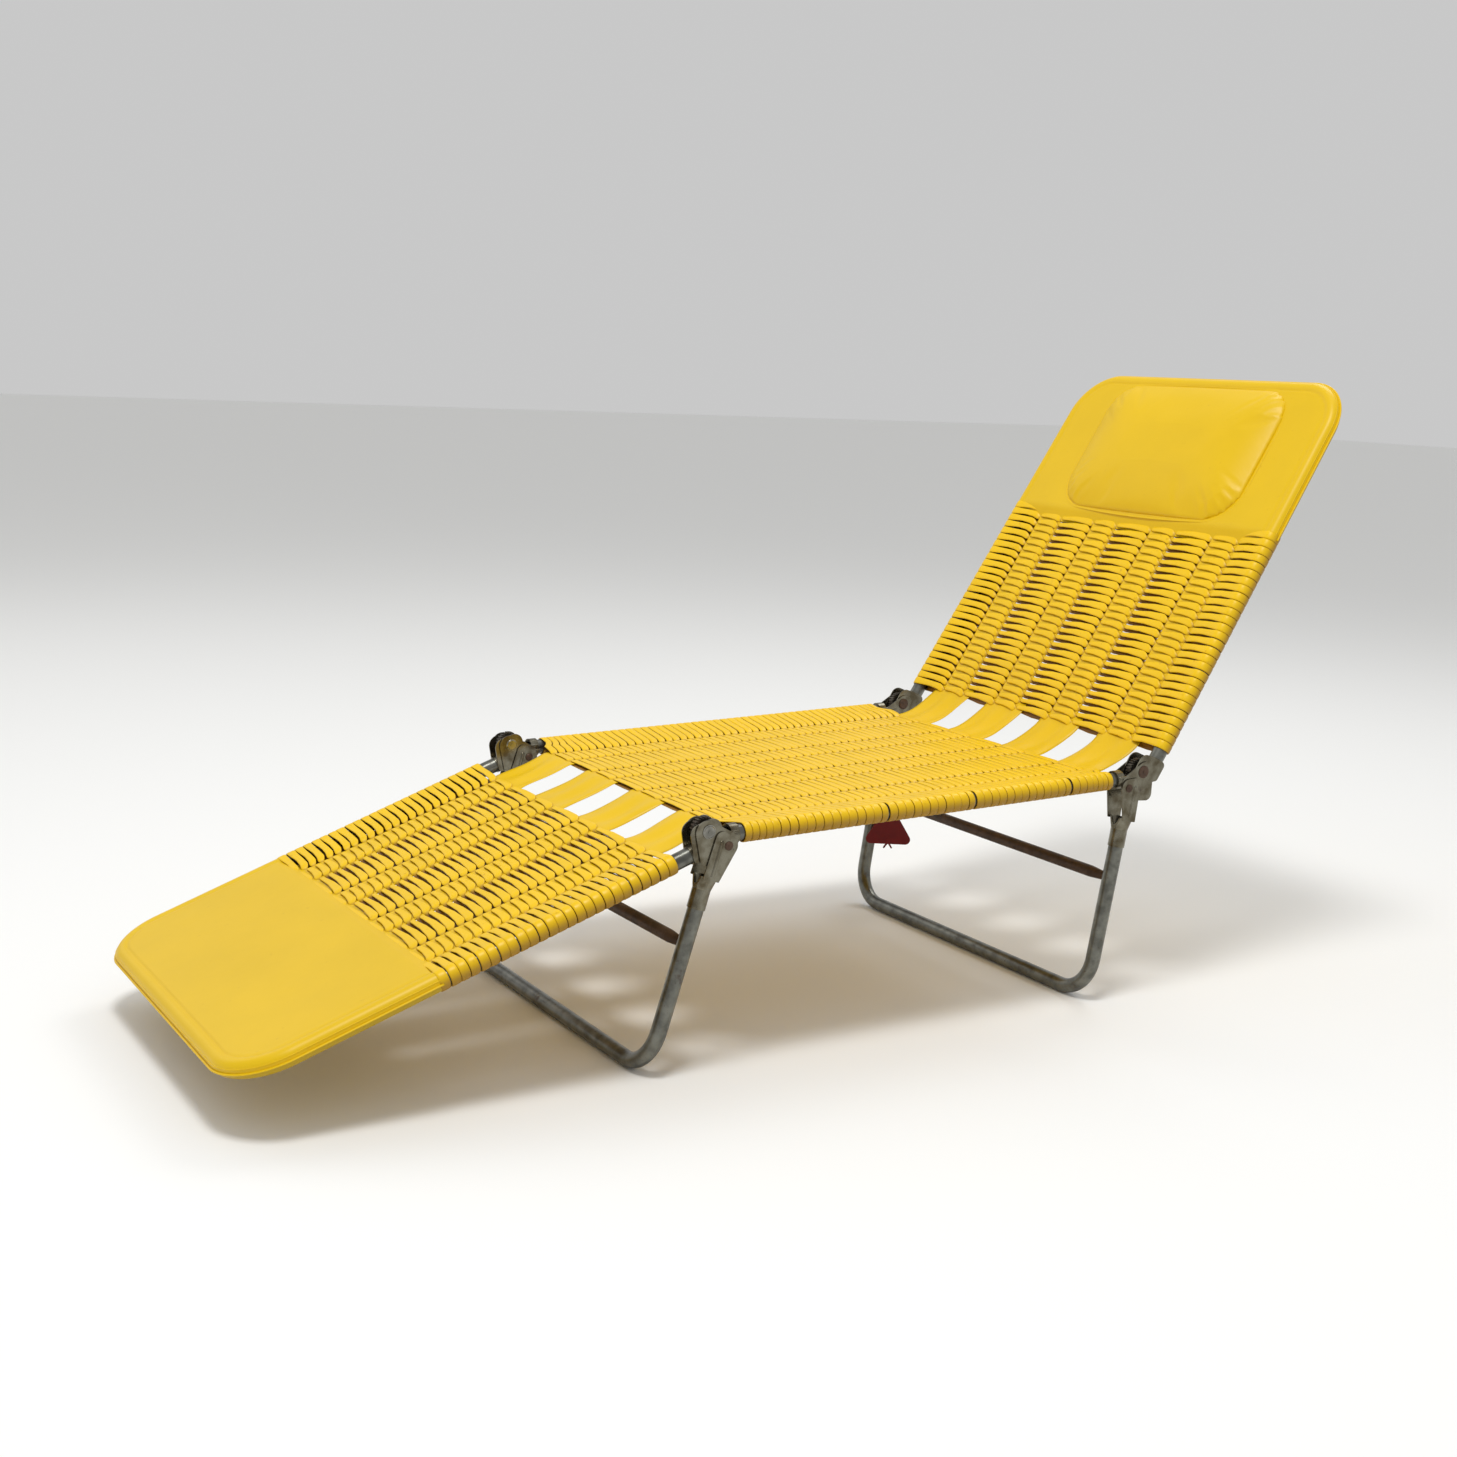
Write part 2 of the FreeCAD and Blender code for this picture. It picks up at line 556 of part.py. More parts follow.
# ---- legs ----
def leg_length(pivot, lean, outward):
    """From the leg rivet to the floor bar's axis, so that the bar rests on the floor."""
    angle = math.radians(lean)
    rise = pivot.z - TUBE_RADIUS + outward * LEG_OFFSET * math.sin(angle)
    return rise / math.cos(angle)


def leg_frame(length):
    """The U of tube that stands on the floor."""
    points = []
    for sign in (1, -1):
        side = [Vector(sign * RAIL_HALF_SPACING, -LEG_OFFSET, -LEG_TUBE_TOP),
                Vector(sign * RAIL_HALF_SPACING, -LEG_OFFSET, -LEG_TAPER_START),
                Vector(sign * LEG_FOOT_HALF_SPACING, -LEG_OFFSET, -length)]
        points += side if sign == 1 else side[::-1]
    return tube_along(rounded_wire(points, LEG_CORNER))


def leg_head():
    """The pressed fork at the top of a leg: two ears outside the seat bracket, and a sleeve."""
    ridge = (-LEG_OFFSET - 0.5, 6.0, 9.0)
    low_ear = (-LEG_OFFSET, -FORK_SHOULDER - 2.0, 1.0)
    outline = [(-LEG_OFFSET - COLLAR_RADIUS + 1.0, low_ear[1], 1.0),
               (-LEG_OFFSET + COLLAR_RADIUS - 1.0, low_ear[1], 1.0),
               (0.0, 0.0, 12.5), ridge]
    solids = both_faces(outline, EAR_INNER, EAR_OUTER)
    rib_radius = 3.0
    rib_top = Vector(0, -LEG_OFFSET, 2.0)
    for way in (1, -1):
        centre = rib_top + X_AXIS * (way * (EAR_OUTER - 1.6))
        solids.append(Part.makeCylinder(rib_radius, FORK_SHOULDER, centre, Z_AXIS * -1))
        solids.append(Part.makeSphere(rib_radius, centre))
    neck = FORK_NECK - FORK_SHOULDER
    shoulder_at = Vector(0, -LEG_OFFSET, -FORK_SHOULDER)
    down = Z_AXIS * -1
    shoulder = Part.makeCone(EAR_OUTER, COLLAR_RADIUS, neck, shoulder_at, down)
    band = Part.makeBox(4 * MUCH, 2 * COLLAR_RADIUS, 4 * MUCH,
                        Vector(-2 * MUCH, -LEG_OFFSET - COLLAR_RADIUS, -FORK_SHOULDER - 2 * MUCH))
    solids.append(shoulder.common(band))
    neck_at = Vector(0, -LEG_OFFSET, -FORK_NECK)
    solids.append(Part.makeCylinder(COLLAR_RADIUS, FORK_END - FORK_NECK, neck_at, down))
    body = solids[0].fuse(solids[1:])
    inside = Part.makeCone(EAR_INNER, TUBE_RADIUS + FIT, neck, shoulder_at, down)
    above = Part.makeBox(2 * EAR_INNER, 4 * MUCH, FORK_SHOULDER + MUCH,
                         Vector(-EAR_INNER, -2 * MUCH, -FORK_SHOULDER))
    bore = Part.makeCylinder(TUBE_RADIUS + FIT, FORK_END, Vector(0, -LEG_OFFSET, -LEG_TUBE_TOP + FIT), down)
    hole = cross_pin(LEG_RIVET_RADIUS, MUCH)
    return body.cut([inside, above, bore, hole])


def leg_axis_half(drop, length):
    """Half the spacing of the leg tubes at a drop below the leg rivet."""
    share = (drop - LEG_TAPER_START) / (length - LEG_TAPER_START)
    return RAIL_HALF_SPACING - share * (RAIL_HALF_SPACING - LEG_FOOT_HALF_SPACING)


def crossbar(length):
    """A round bar between the legs, pinched flat at each end where it is welded to them."""
    reach = leg_axis_half(CROSSBAR_DROP, length)
    plain = reach - TUBE_RADIUS - CROSSBAR_TAPER
    centre = Vector(0, -LEG_OFFSET, -CROSSBAR_DROP)
    bar = Part.makeCylinder(CROSSBAR_RADIUS, 2 * plain, centre - X_AXIS * plain, X_AXIS)
    solids = [bar]
    for way in (1, -1):
        start = centre + X_AXIS * (way * plain)
        end = centre + X_AXIS * (way * reach)
        tall = end + Z_AXIS * (CROSSBAR_TIP_HEIGHT / 2)
        thin = end + Y_AXIS * (CROSSBAR_TIP_THICKNESS / 2)
        tip = Part.Wire(Part.Ellipse(tall, thin, end).toShape())
        round_end = Part.Circle(start, X_AXIS, CROSSBAR_RADIUS)
        round_end.XAxis = Z_AXIS
        solids.append(Part.makeLoft([Part.Wire(round_end.toShape()), tip], True))
    body = solids[0].fuse(solids[1:])
    legs = []
    for _, sign in SIDES:
        top = Vector(sign * RAIL_HALF_SPACING, -LEG_OFFSET, -LEG_TAPER_START)
        foot = Vector(sign * LEG_FOOT_HALF_SPACING, -LEG_OFFSET, -length)
        way = foot - top
        legs.append(Part.makeCylinder(TUBE_RADIUS + FIT, way.Length, top, way))
    return body.cut(legs)


# ---- tag, about the crossbar's axis, hanging straight down ----
def tag_ring():
    drop = RING_RADIUS - RING_WIRE - CROSSBAR_RADIUS - CLEAR
    ring = Part.makeTorus(RING_RADIUS, RING_WIRE, Vector(0, 0, -drop), X_AXIS)
    ring.rotate(Vector(), Z_AXIS, RING_TURN)
    return ring


def tag_plate():
    """A rounded triangle hung by one corner, with two little prongs under its lower edge."""
    hole_drop = 2 * RING_RADIUS - RING_WIRE - CROSSBAR_RADIUS - CLEAR
    top = -hole_drop - TAG_HOLE + RING_WIRE + CLEAR
    low = top + TAG_CORNER - TAG_HEIGHT
    half = TAG_WIDTH / 2 - TAG_CORNER
    outline = [(-half, low + TAG_CORNER, TAG_CORNER), (half, low + TAG_CORNER, TAG_CORNER),
               (0.0, top, TAG_CORNER)]
    solids = [disc_hull(outline, -TAG_THICKNESS / 2, TAG_THICKNESS / 2)]
    for way in (1, -1):
        prong = [(way * 1.5, low + 1.0, 1.5), (way * 6.0, low - TAG_PRONG + 2.0, 1.2)]
        solids.append(disc_hull(prong, -TAG_THICKNESS / 2, TAG_THICKNESS / 2))
    plate = fused(solids).cut(cross_pin(TAG_HOLE, MUCH, 0.0, top))
    plate.rotate(Vector(), Z_AXIS, TAG_TURN - 90.0)
    return plate


def at_tag(shape, length):
    """A tag piece moved to its place on the rear crossbar, hanging plumb while the leg leans."""
    local = Vector(TAG_PLACE, -LEG_OFFSET, -CROSSBAR_DROP)
    spin = Rotation(X_AXIS, -REAR_LEG_LEAN).multiply(Rotation(Z_AXIS, 180.0))
    result = shape.copy()
    result.translate(REAR_LEG_PIVOT + spin.multVec(local))
    return result


# ---- the whole ----
def pair(shape, place):
    """The same hinge piece on both sides, in one node."""
    solids = shape if isinstance(shape, list) else [shape]
    return Part.makeCompound([place(moved(s, sign * RAIL_HALF_SPACING))
                              for _, sign in SIDES for s in solids])


def seat_nodes():
    front_lobe = (-3.0, -LEG_PIVOT_DROP - 12.4, 8.5)
    rear_lobe = (-7.0, -LEG_PIVOT_DROP - 11.0, 9.5)
    front_bracket = seat_bracket(front_lobe)
    rear_bracket = seat_bracket(rear_lobe)
    nodes = {}
    for side, sign in SIDES:
        x = sign * RAIL_HALF_SPACING
        nodes["seat_rail_" + side] = as_seat(moved(seat_rail(), x))
        nodes["front_seat_bracket_" + side] = as_seat(moved(front_bracket, x))
        nodes["rear_seat_bracket_" + side] = as_seat(moved(at_rear(rear_bracket), x))
    for end, put in (("front", lambda s: as_seat(s)), ("rear", lambda s: as_seat(at_rear(s)))):
        nodes[end + "_hinge_rivets"] = pair(hinge_rivet(), put)
        nodes[end + "_leg_rivets"] = pair(leg_rivet(), put)
        nodes[end + "_ratchet_springs"] = pair(ratchet_spring(), put)
    nodes["seat_weave"] = as_seat(seat_weave())
    nodes["seat_straps"] = as_seat(straps(SEAT_WEAVE_INSET, SEAT_SPAN - SEAT_WEAVE_INSET, RAIL_HEIGHT))
    nodes["front_strap_bridges"] = front_bridges()
    nodes["rear_strap_bridges"] = rear_bridges()
    return nodes


def section_nodes(name, cover_name, length, weave_end, place, notch_angle):
    nodes = {}
    nodes[name + "_frame"] = place(section_frame(length))
    for side, sign in SIDES:
        local = -sign if place is as_foot else sign
        nodes[name + "_bracket_" + side] = place(moved(section_bracket(), local * RAIL_HALF_SPACING))
    nodes[name + "_ratchet_wheels"] = pair(ratchet_wheel(notch_angle), place)
    nodes[name + "_ratchet_keys"] = pair(ratchet_key(), place)
    nodes[name + "_hinge_spacers"] = pair(hinge_spacers(), place)
    nodes[name + "_weave"] = place(section_weave(length, weave_end))
    nodes[name + "_straps"] = place(straps(WEAVE_START, weave_end, -SECTION_DROP))
    nodes[cover_name] = place(cover(length, weave_end + CLEAR))
    return nodes


def leg_nodes(name, place, length):
    nodes = {}
    nodes[name + "_leg_frame"] = place(leg_frame(length))
    for side, sign in SIDES:
        local = -sign if place is as_rear_legs else sign
        nodes[name + "_leg_head_" + side] = place(moved(leg_head(), local * RAIL_HALF_SPACING))
    nodes[name + "_crossbar"] = place(crossbar(length))
    return nodes


def main():
    front_length = leg_length(FRONT_LEG_PIVOT, FRONT_LEG_LEAN, 1)
    rear_length = leg_length(REAR_LEG_PIVOT, REAR_LEG_LEAN, -1)
    nose_world = SPRING_NOSE_ANGLE + SEAT_SLOPE
    foot_notch = 180.0 + FOOT_DROOP - nose_world
    back_notch = 180.0 - SPRING_NOSE_ANGLE + SEAT_SLOPE - BACK_RISE
    nodes = seat_nodes()
    nodes.update(section_nodes("foot", "foot_cover", FOOT_LENGTH, FOOT_WEAVE_END, as_foot, foot_notch))
    nodes.update(section_nodes("back", "head_cover", BACK_LENGTH, BACK_WEAVE_END, as_back, back_notch))
    nodes["head_pillow"] = as_back(pillow())
    nodes.update(leg_nodes("front", as_front_legs, front_length))
    nodes.update(leg_nodes("rear", as_rear_legs, rear_length))
    nodes["tag_plate"] = at_tag(tag_plate(), rear_length)
    nodes["tag_ring"] = at_tag(tag_ring(), rear_length)

    foot_tip = nodes["foot_cover"].optimalBoundingBox(False, False).YMin
    head_tip = nodes["head_cover"].optimalBoundingBox(False, False).YMax
    middle = (foot_tip + head_tip) / 2
    os.makedirs("parts", exist_ok=True)
    for name, shape in nodes.items():
        placed = moved(shape, y=-middle)
        placed.exportStep("parts/" + name + ".step")
        print(name, len(placed.Solids), round(placed.Volume, 1), placed.isValid())
    for name, point in (("foot hinge", FOOT_HINGE), ("back hinge", BACK_HINGE),
                        ("front leg pivot", FRONT_LEG_PIVOT), ("rear leg pivot", REAR_LEG_PIVOT),
                        ("tag pivot", at_tag(Part.Vertex(0, 0, 0), rear_length).Point)):
        print(name, "y", round(point.y - middle, 4), "z", round(point.z, 4))
    print("leg lengths", round(front_length, 2), round(rear_length, 2), "middle", round(middle, 3))


if __name__ == "__main__":
    main()
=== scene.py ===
import json
import math

import bmesh
import bpy
import numpy as np
from bpy.props import FloatProperty, FloatVectorProperty, PointerProperty
from mathutils import Matrix, Vector


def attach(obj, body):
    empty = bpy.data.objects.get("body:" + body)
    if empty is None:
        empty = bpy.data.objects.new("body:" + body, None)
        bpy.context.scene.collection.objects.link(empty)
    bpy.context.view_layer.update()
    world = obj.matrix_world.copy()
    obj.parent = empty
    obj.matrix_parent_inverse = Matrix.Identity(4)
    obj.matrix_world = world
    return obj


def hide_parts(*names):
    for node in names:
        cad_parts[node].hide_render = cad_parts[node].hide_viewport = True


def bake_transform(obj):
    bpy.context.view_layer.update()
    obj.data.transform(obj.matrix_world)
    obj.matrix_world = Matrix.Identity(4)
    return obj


bl_info = {
    "name": "Folding Sun Lounger",
    "version": (1, 0, 0),
    "blender": (4, 5, 0),
    "location": "View3D > Sidebar > Lounger",
    "description": "Dresses a folding steel lounger in woven PVC strip, welded covers and a padded head rest",
    "category": "Object",
}

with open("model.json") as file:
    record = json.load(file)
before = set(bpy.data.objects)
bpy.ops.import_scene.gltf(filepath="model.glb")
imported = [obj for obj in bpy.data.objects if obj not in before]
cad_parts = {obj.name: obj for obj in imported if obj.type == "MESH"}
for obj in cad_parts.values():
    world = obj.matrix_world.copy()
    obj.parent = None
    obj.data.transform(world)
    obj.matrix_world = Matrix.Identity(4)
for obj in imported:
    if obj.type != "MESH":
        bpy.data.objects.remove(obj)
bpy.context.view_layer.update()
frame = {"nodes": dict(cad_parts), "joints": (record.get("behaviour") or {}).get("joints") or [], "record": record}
MM = 0.001
SEED = 7

# ---- where the three panels lie, from the frame's joints ----
JOINTS = {joint["name"]: joint for joint in frame["joints"]}
FOOT_HINGE = np.array(JOINTS["foot_tilt"]["pos_m"])
BACK_HINGE = np.array(JOINTS["back_recline"]["pos_m"])
SEAT_SPAN = float(np.linalg.norm(BACK_HINGE - FOOT_HINGE))
SEAT_ALONG = (BACK_HINGE - FOOT_HINGE) / SEAT_SPAN
FOOT_DROOP = math.radians(20.2)
BACK_RISE = math.radians(57.6)
X_AXIS = np.array([1.0, 0.0, 0.0])

# ---- the frame's own sizes, which the soft pieces are fitted to ----
TUBE_RADIUS = 10 * MM
PIVOT_RISE = 9.5 * MM
SECTION_DROP = 21.5 * MM
RAIL_HALF = 270 * MM
END_HALF = 258 * MM
TAPER_START = 40 * MM
FOOT_LENGTH = 590 * MM
BACK_LENGTH = 620 * MM
FRAME_CORNER = 62 * MM
STRAP_PITCH = 124 * MM
STRAP_PLACES = (np.arange(4) - 1.5) * STRAP_PITCH

# ---- where the soft pieces start and end, along each panel from its hinge ----
SEAT_WEAVE_START = 46 * MM
SEAT_WEAVE_EDGE = 40 * MM
FOOT_WEAVE_START = 56 * MM
FOOT_WEAVE_END = 350 * MM
BACK_WEAVE_START = 48 * MM
BACK_WEAVE_END = 374 * MM
SECTION_WEAVE_EDGE = 50 * MM
LEG_HEAD_ROOM = 56 * MM
OPEN_WRAPS = (250 * MM, 385 * MM, 550 * MM)
SEAT_SLACK = 0.3
SECTION_SLACK = 1.0


class WovenPanel:
    """One flat panel of the lounger: where it starts, which way it runs, and how wide it is.

    A place on it is x across, v along it from its hinge, and w above the plane of its side tubes. Its
    way is -1 where v runs against +Y, which mirrors faces and sideways bows, and its length is None
    where the side tubes run parallel.
    """

    def __init__(self, body, hinge, along, drop, length, way):
        normal = np.array([0.0, -along[2], along[1]])
        if normal[2] < 0:
            normal = -normal
        self.body = body
        self.along = along
        self.normal = normal
        self.origin = hinge - normal * drop
        self.length = length
        self.way = way

    def half(self, v):
        """Half the distance between the side tubes' axes: constant, then narrowing in a straight line."""
        if self.length is None:
            return RAIL_HALF + 0 * v
        share = np.clip((v - TAPER_START) / (self.length - TAPER_START), 0, None)
        return RAIL_HALF - share * (RAIL_HALF - END_HALF)

    def place(self, x, v, w):
        """World points: origin + x across + v along + w normal, over whole arrays."""
        x, v, w = np.broadcast_arrays(x, v, w)
        return (self.origin + x[..., None] * X_AXIS + v[..., None] * self.along
                + w[..., None] * self.normal)


PANELS = {
    "seat": WovenPanel("seat", FOOT_HINGE, SEAT_ALONG, PIVOT_RISE, None, 1),
    "foot": WovenPanel("foot", FOOT_HINGE, np.array([0, -math.cos(FOOT_DROOP), -math.sin(FOOT_DROOP)]),
                       SECTION_DROP, FOOT_LENGTH, -1),
    "back": WovenPanel("back", BACK_HINGE, np.array([0, math.cos(BACK_RISE), math.sin(BACK_RISE)]),
                       SECTION_DROP, BACK_LENGTH, 1),
}


def linear(code):
    """An sRGB hex colour such as 'F0C400' as linear RGBA."""
    parts = [int(code[i:i + 2], 16) / 255 for i in (0, 2, 4)]
    return [c / 12.92 if c <= 0.04045 else ((c + 0.055) / 1.055) ** 2.4 for c in parts] + [1.0]


def colour(label, code, description):
    """A colour setting with its sRGB hex default."""
    return FloatVectorProperty(name=label, subtype="COLOR", size=4, min=0, max=1, default=linear(code),
                               description=description)


def distance(label, default, description):
    """A setting in metres, with its default."""
    return FloatProperty(name=label, default=default, unit="LENGTH", description=description)


# ---- sizes and colours a user would change ----
class ColourSettings(bpy.types.PropertyGroup):
    # The strip's lit colour, and the darker colour of painted shade that the strip takes underneath, on its sides
    # inside the weave and round the bottom of the rail wraps
    strip: colour("Strip", "F0C400", "Sun-bleached top of the woven PVC strip")
    strip_shaded: colour("Strip inside", "85580C", "Shaded amber of the strip's sides inside the weave")
    sheet: colour("Cover sheet", "E2BA00", "Calendered PVC sheet of the covers and the pillow")
    strap: colour("Strap sheet", "E6BC00", "PVC sheet of the lengthwise straps")
    soil: colour("Soil", "B98414", "Dust that has settled on the yellow plastic")
    tube: colour("Tube steel", "7A7A72", "Drawn steel tube")
    pressed: colour("Pressed steel", "7F7B6C", "Pressed brackets and leg heads")
    film: colour("Oil film", "59513F", "Old brown lacquer and oil on the pressed steel")
    ratchet: colour("Ratchet steel", "5E594F", "Stamped ratchet wheels")
    rivet: colour("Rivet steel", "9A988F", "Cold-headed hinge rivets")
    rust: colour("Rust", "4A382C", "Rust on every steel piece")
    tag: colour("Tag", "6E0608", "Moulded red tag")
    floor: colour("Floor", "F5F5F3", "Painted studio floor")


class WeaveSettings(bpy.types.PropertyGroup):
    pitch: distance("Row pitch", 12.3 * MM, "Distance from one woven row to the next")
    strip_width: distance("Strip width", 11.2 * MM, "Width of the strip where it lies flat")
    strip_thickness: distance("Strip thickness", 2.4 * MM, "Thickness of the extruded strip")
    rise: distance("Strand rise", 2.5 * MM, "Height of the upper strand above the panel's middle plane")
    bow: distance("Strand bow", 2.5 * MM, "How far a strand bends sideways between two crossings")
    strap_width: distance("Strap width", 50 * MM, "Width of the lengthwise straps the strands twist round")


class CoverSettings(bpy.types.PropertyGroup):
    wall: distance("Skin stand-off", 1.5 * MM, "From the tube's surface to the outside of the cover")
    plateau: distance("Middle height", 10.2 * MM, "Height of the tight skin between the tubes")
    seam: distance("Seam width", 3.0 * MM, "Welded edge that stands out round the cover")


class PillowSettings(bpy.types.PropertyGroup):
    width: distance("Width", 365 * MM, "Across the back")
    length: distance("Length", 218 * MM, "Along the back")
    corner: distance("Corner", 50 * MM, "Outline's corner radius")
    height: distance("Height", 20 * MM, "Crown above the cover")
    belly: distance("Belly", 9 * MM, "How far the lower edge bulges out in the middle")


class BridgeSettings(bpy.types.PropertyGroup):
    width: distance("Width", 84 * MM, "Width of a strap where it is flat between two panels")
    thickness: distance("Thickness", 1.8 * MM, "Of the strap")
    sag: distance("Sag", 4 * MM, "How far a strap hangs down")


class StageSettings(bpy.types.PropertyGroup):
    floor: distance("Floor size", 60.0, "Side of the floor")
    lens: FloatProperty(name="Lens", default=46.81, unit="CAMERA", description="Camera's focal length")


# ---- small tools ----
def add_node(tree, kind, settings, inputs):
    """Adds a shader node, sets its properties, and sets or links its inputs by name or number."""
    node = tree.nodes.new("ShaderNode" + kind)
    for name, value in settings.items():
        setattr(node, name, value)
    for name, value in inputs.items():
        if isinstance(value, bpy.types.NodeSocket):
            tree.links.new(value, node.inputs[name])
        else:
            node.inputs[name].default_value = value
    return node


def new_material(name, **fixed):
    """A material with one Principled shader whose fixed values sit on its own sockets."""
    material = bpy.data.materials.new(name)
    material.use_nodes = True
    shader = material.node_tree.nodes["Principled BSDF"]
    for key, value in fixed.items():
        shader.inputs[key.replace("_", " ")].default_value = value
    return material, material.node_tree, shader


def smoothstep(t):
    t = np.clip(t, 0, 1)
    return t * t * (3 - 2 * t)


def grid_faces(rows, cols, close_rows=False, close_cols=False):
    """Quads over a rows x cols grid of points, wrapped round where asked."""
    r = np.arange(rows if close_rows else rows - 1)[:, None]
    c = np.arange(cols if close_cols else cols - 1)[None, :]
    r2 = (r + 1) % rows
    c2 = (c + 1) % cols
    quads = np.stack([r * cols + c, r * cols + c2, r2 * cols + c2, r2 * cols + c], axis=-1)
    return quads.reshape(-1, 4)


def add_piece(name, points, faces, material, uv=None, smooth=True):
    """A new object from arrays of points and faces, at the origin, with its place in its mesh."""
    points = np.ascontiguousarray(points.reshape(-1, 3), dtype=np.float32)
    mesh = bpy.data.meshes.new(name)
    if isinstance(faces, np.ndarray):
        count, corners = faces.shape
        mesh.vertices.add(len(points))
        mesh.vertices.foreach_set("co", points.ravel())
        mesh.loops.add(faces.size)
        mesh.loops.foreach_set("vertex_index", faces.astype(np.int32).ravel())
        mesh.polygons.add(count)
        mesh.polygons.foreach_set("loop_start", np.arange(0, faces.size, corners, dtype=np.int32))
        mesh.update(calc_edges=True)
    else:
        mesh.from_pydata(points.tolist(), [], faces)
    if uv is not None:
        layer = mesh.uv_layers.new(name="strip")
        index = np.empty(len(mesh.loops), dtype=np.int32)
        mesh.loops.foreach_get("vertex_index", index)
        layer.data.foreach_set("uv", uv.reshape(-1, 2)[index].astype(np.float32).ravel())
    mesh.polygons.foreach_set("use_smooth", np.full(len(mesh.polygons), smooth))
    mesh.validate()
    mesh.materials.append(material)
    obj = bpy.data.objects.new(name, mesh)
    bpy.context.scene.collection.objects.link(obj)
    return obj


# ---- materials ----
def toned(shade, factor):
    """The same colour, lighter or darker by a factor."""
    return [min(1.0, c * factor) for c in shade[:3]] + [1.0]


def noise(tree, place, size, detail, roughness=0.5):
    """Cloudy noise whose blotches are about this many metres across."""
    return add_node(tree, "TexNoise", {}, {"Vector": place, "Scale": 1 / size, "Detail": detail,
                                           "Roughness": roughness}).outputs[0]


def between(tree, value, low, high, start=0.0, end=1.0):
    """Maps a value from low..high to start..end, held at both ends."""
    return add_node(tree, "MapRange", {}, {"Value": value, "From Min": low, "From Max": high,
                                           "To Min": start, "To Max": end}).outputs[0]


def mixed(tree, share, first, second):
    """Two colours mixed by a share."""
    return add_node(tree, "Mix", {"data_type": "RGBA"}, {0: share, 6: first, 7: second}).outputs[2]


def spots(tree):
    """Places in the object's own coordinates, which are metres from the frame's origin."""
    return add_node(tree, "TexCoord", {}, {}).outputs["Object"]


def bumped(tree, height, strength, depth, **under):
    """A normal tilted by a height pattern, over another normal where one is given."""
    return add_node(tree, "Bump", {}, {"Height": height, "Strength": strength, "Distance": depth,
                                       **under}).outputs[0]


def pvc_strip_finish(colours):
    """Extruded PVC strip: soft yellow plastic drawn through a die, so it is glossy with fine lines
    along it and has specks of dust; painted shade darkens it underneath, on its sides inside the weave
    and round the bottom of the rail wraps."""
    material, tree, shader = new_material("extruded_pvc_strip", Roughness=0.38, IOR=1.53,
                                          Specular_IOR_Level=0.3)
    strip = add_node(tree, "UVMap", {"uv_map": "strip"}, {}).outputs[0]
    # the die's lines are finer than this in the real strip, and are drawn 1.2 mm apart so they show
    scale = (1 / (30 * MM), 1 / (1.2 * MM), 1)
    die = add_node(tree, "Mapping", {}, {"Vector": strip, "Scale": scale}).outputs[0]
    lines = add_node(tree, "TexNoise", {}, {"Vector": die, "Scale": 1.0, "Detail": 2.0}).outputs[0]
    spot = spots(tree)
    weather = between(tree, noise(tree, spot, 60 * MM, 4.0, 0.6), 0.35, 0.7)
    top = mixed(tree, weather, toned(colours.strip, 0.96), toned(colours.strip, 1.04))
    # painted shade: each point's share of painted light mixes the strip from its shaded colour to its lit one
    painted_light = add_node(tree, "Attribute", {"attribute_name": "painted_light"}, {}).outputs["Fac"]
    base = mixed(tree, painted_light, colours.strip_shaded, top)
    dirt = between(tree, noise(tree, spot, 7 * MM, 3.0), 0.64, 0.80, 0.0, 0.5)
    tree.links.new(mixed(tree, dirt, base, colours.soil), shader.inputs["Base Color"])
    tree.links.new(bumped(tree, lines, 0.25, 0.15 * MM), shader.inputs["Normal"])
    return material


def pvc_sheet_finish(name, shade, soil, grain):
    """Calendered PVC sheet: satin, with a fine rolled grain and faint handling marks."""
    material, tree, shader = new_material(name, Roughness=0.4, IOR=1.53, Specular_IOR_Level=0.3)
    spot = spots(tree)
    marks = between(tree, noise(tree, spot, 130 * MM, 5.0, 0.6), 0.3, 0.72)
    base = mixed(tree, marks, toned(shade, 0.97), toned(shade, 1.04))
    dirt = between(tree, noise(tree, spot, 9 * MM, 3.0), 0.68, 0.85, 0.0, 0.3)
    tree.links.new(mixed(tree, dirt, base, soil), shader.inputs["Base Color"])
    cells = add_node(tree, "TexVoronoi", {}, {"Vector": spot, "Scale": 1 / grain}).outputs[0]
    fine = bumped(tree, cells, 0.12, 0.1 * MM)
    dents = bumped(tree, noise(tree, spot, 45 * MM, 2.0), 0.35, 0.8 * MM, Normal=fine)
    tree.links.new(dents, shader.inputs["Normal"])
    return material


def steel_finish(name, clean, film, rust, rust_share, roughness, metallic=0.9):
    """Bare or lightly lacquered mild steel kept outdoors: grey metal under a brown film, with rust
    in cloudy patches and in specks about 3 mm across, and rougher where it has rusted."""
    material, tree, shader = new_material(name)
    spot = spots(tree)
    tone = between(tree, noise(tree, spot, 16 * MM, 3.0, 0.5), 0.38, 0.66)
    metal = mixed(tree, tone, clean, film)
    low = 0.72 - 0.25 * rust_share
    cloud = between(tree, noise(tree, spot, 22 * MM, 6.0, 0.7), low, low + 0.14, 0.0, 0.9)
    dots = between(tree, noise(tree, spot, 3.5 * MM, 3.0, 0.6), low + 0.02, low + 0.12, 0.0, 0.75)
    both = add_node(tree, "Math", {"operation": "MAXIMUM"}, {0: cloud, 1: dots}).outputs[0]
    tree.links.new(mixed(tree, both, metal, rust), shader.inputs["Base Color"])
    tree.links.new(between(tree, both, 0, 1, roughness, 0.8), shader.inputs["Roughness"])
    tree.links.new(between(tree, both, 0, 1, metallic, 0.15), shader.inputs["Metallic"])
    tree.links.new(bumped(tree, both, 0.3, 0.15 * MM), shader.inputs["Normal"])
    return material


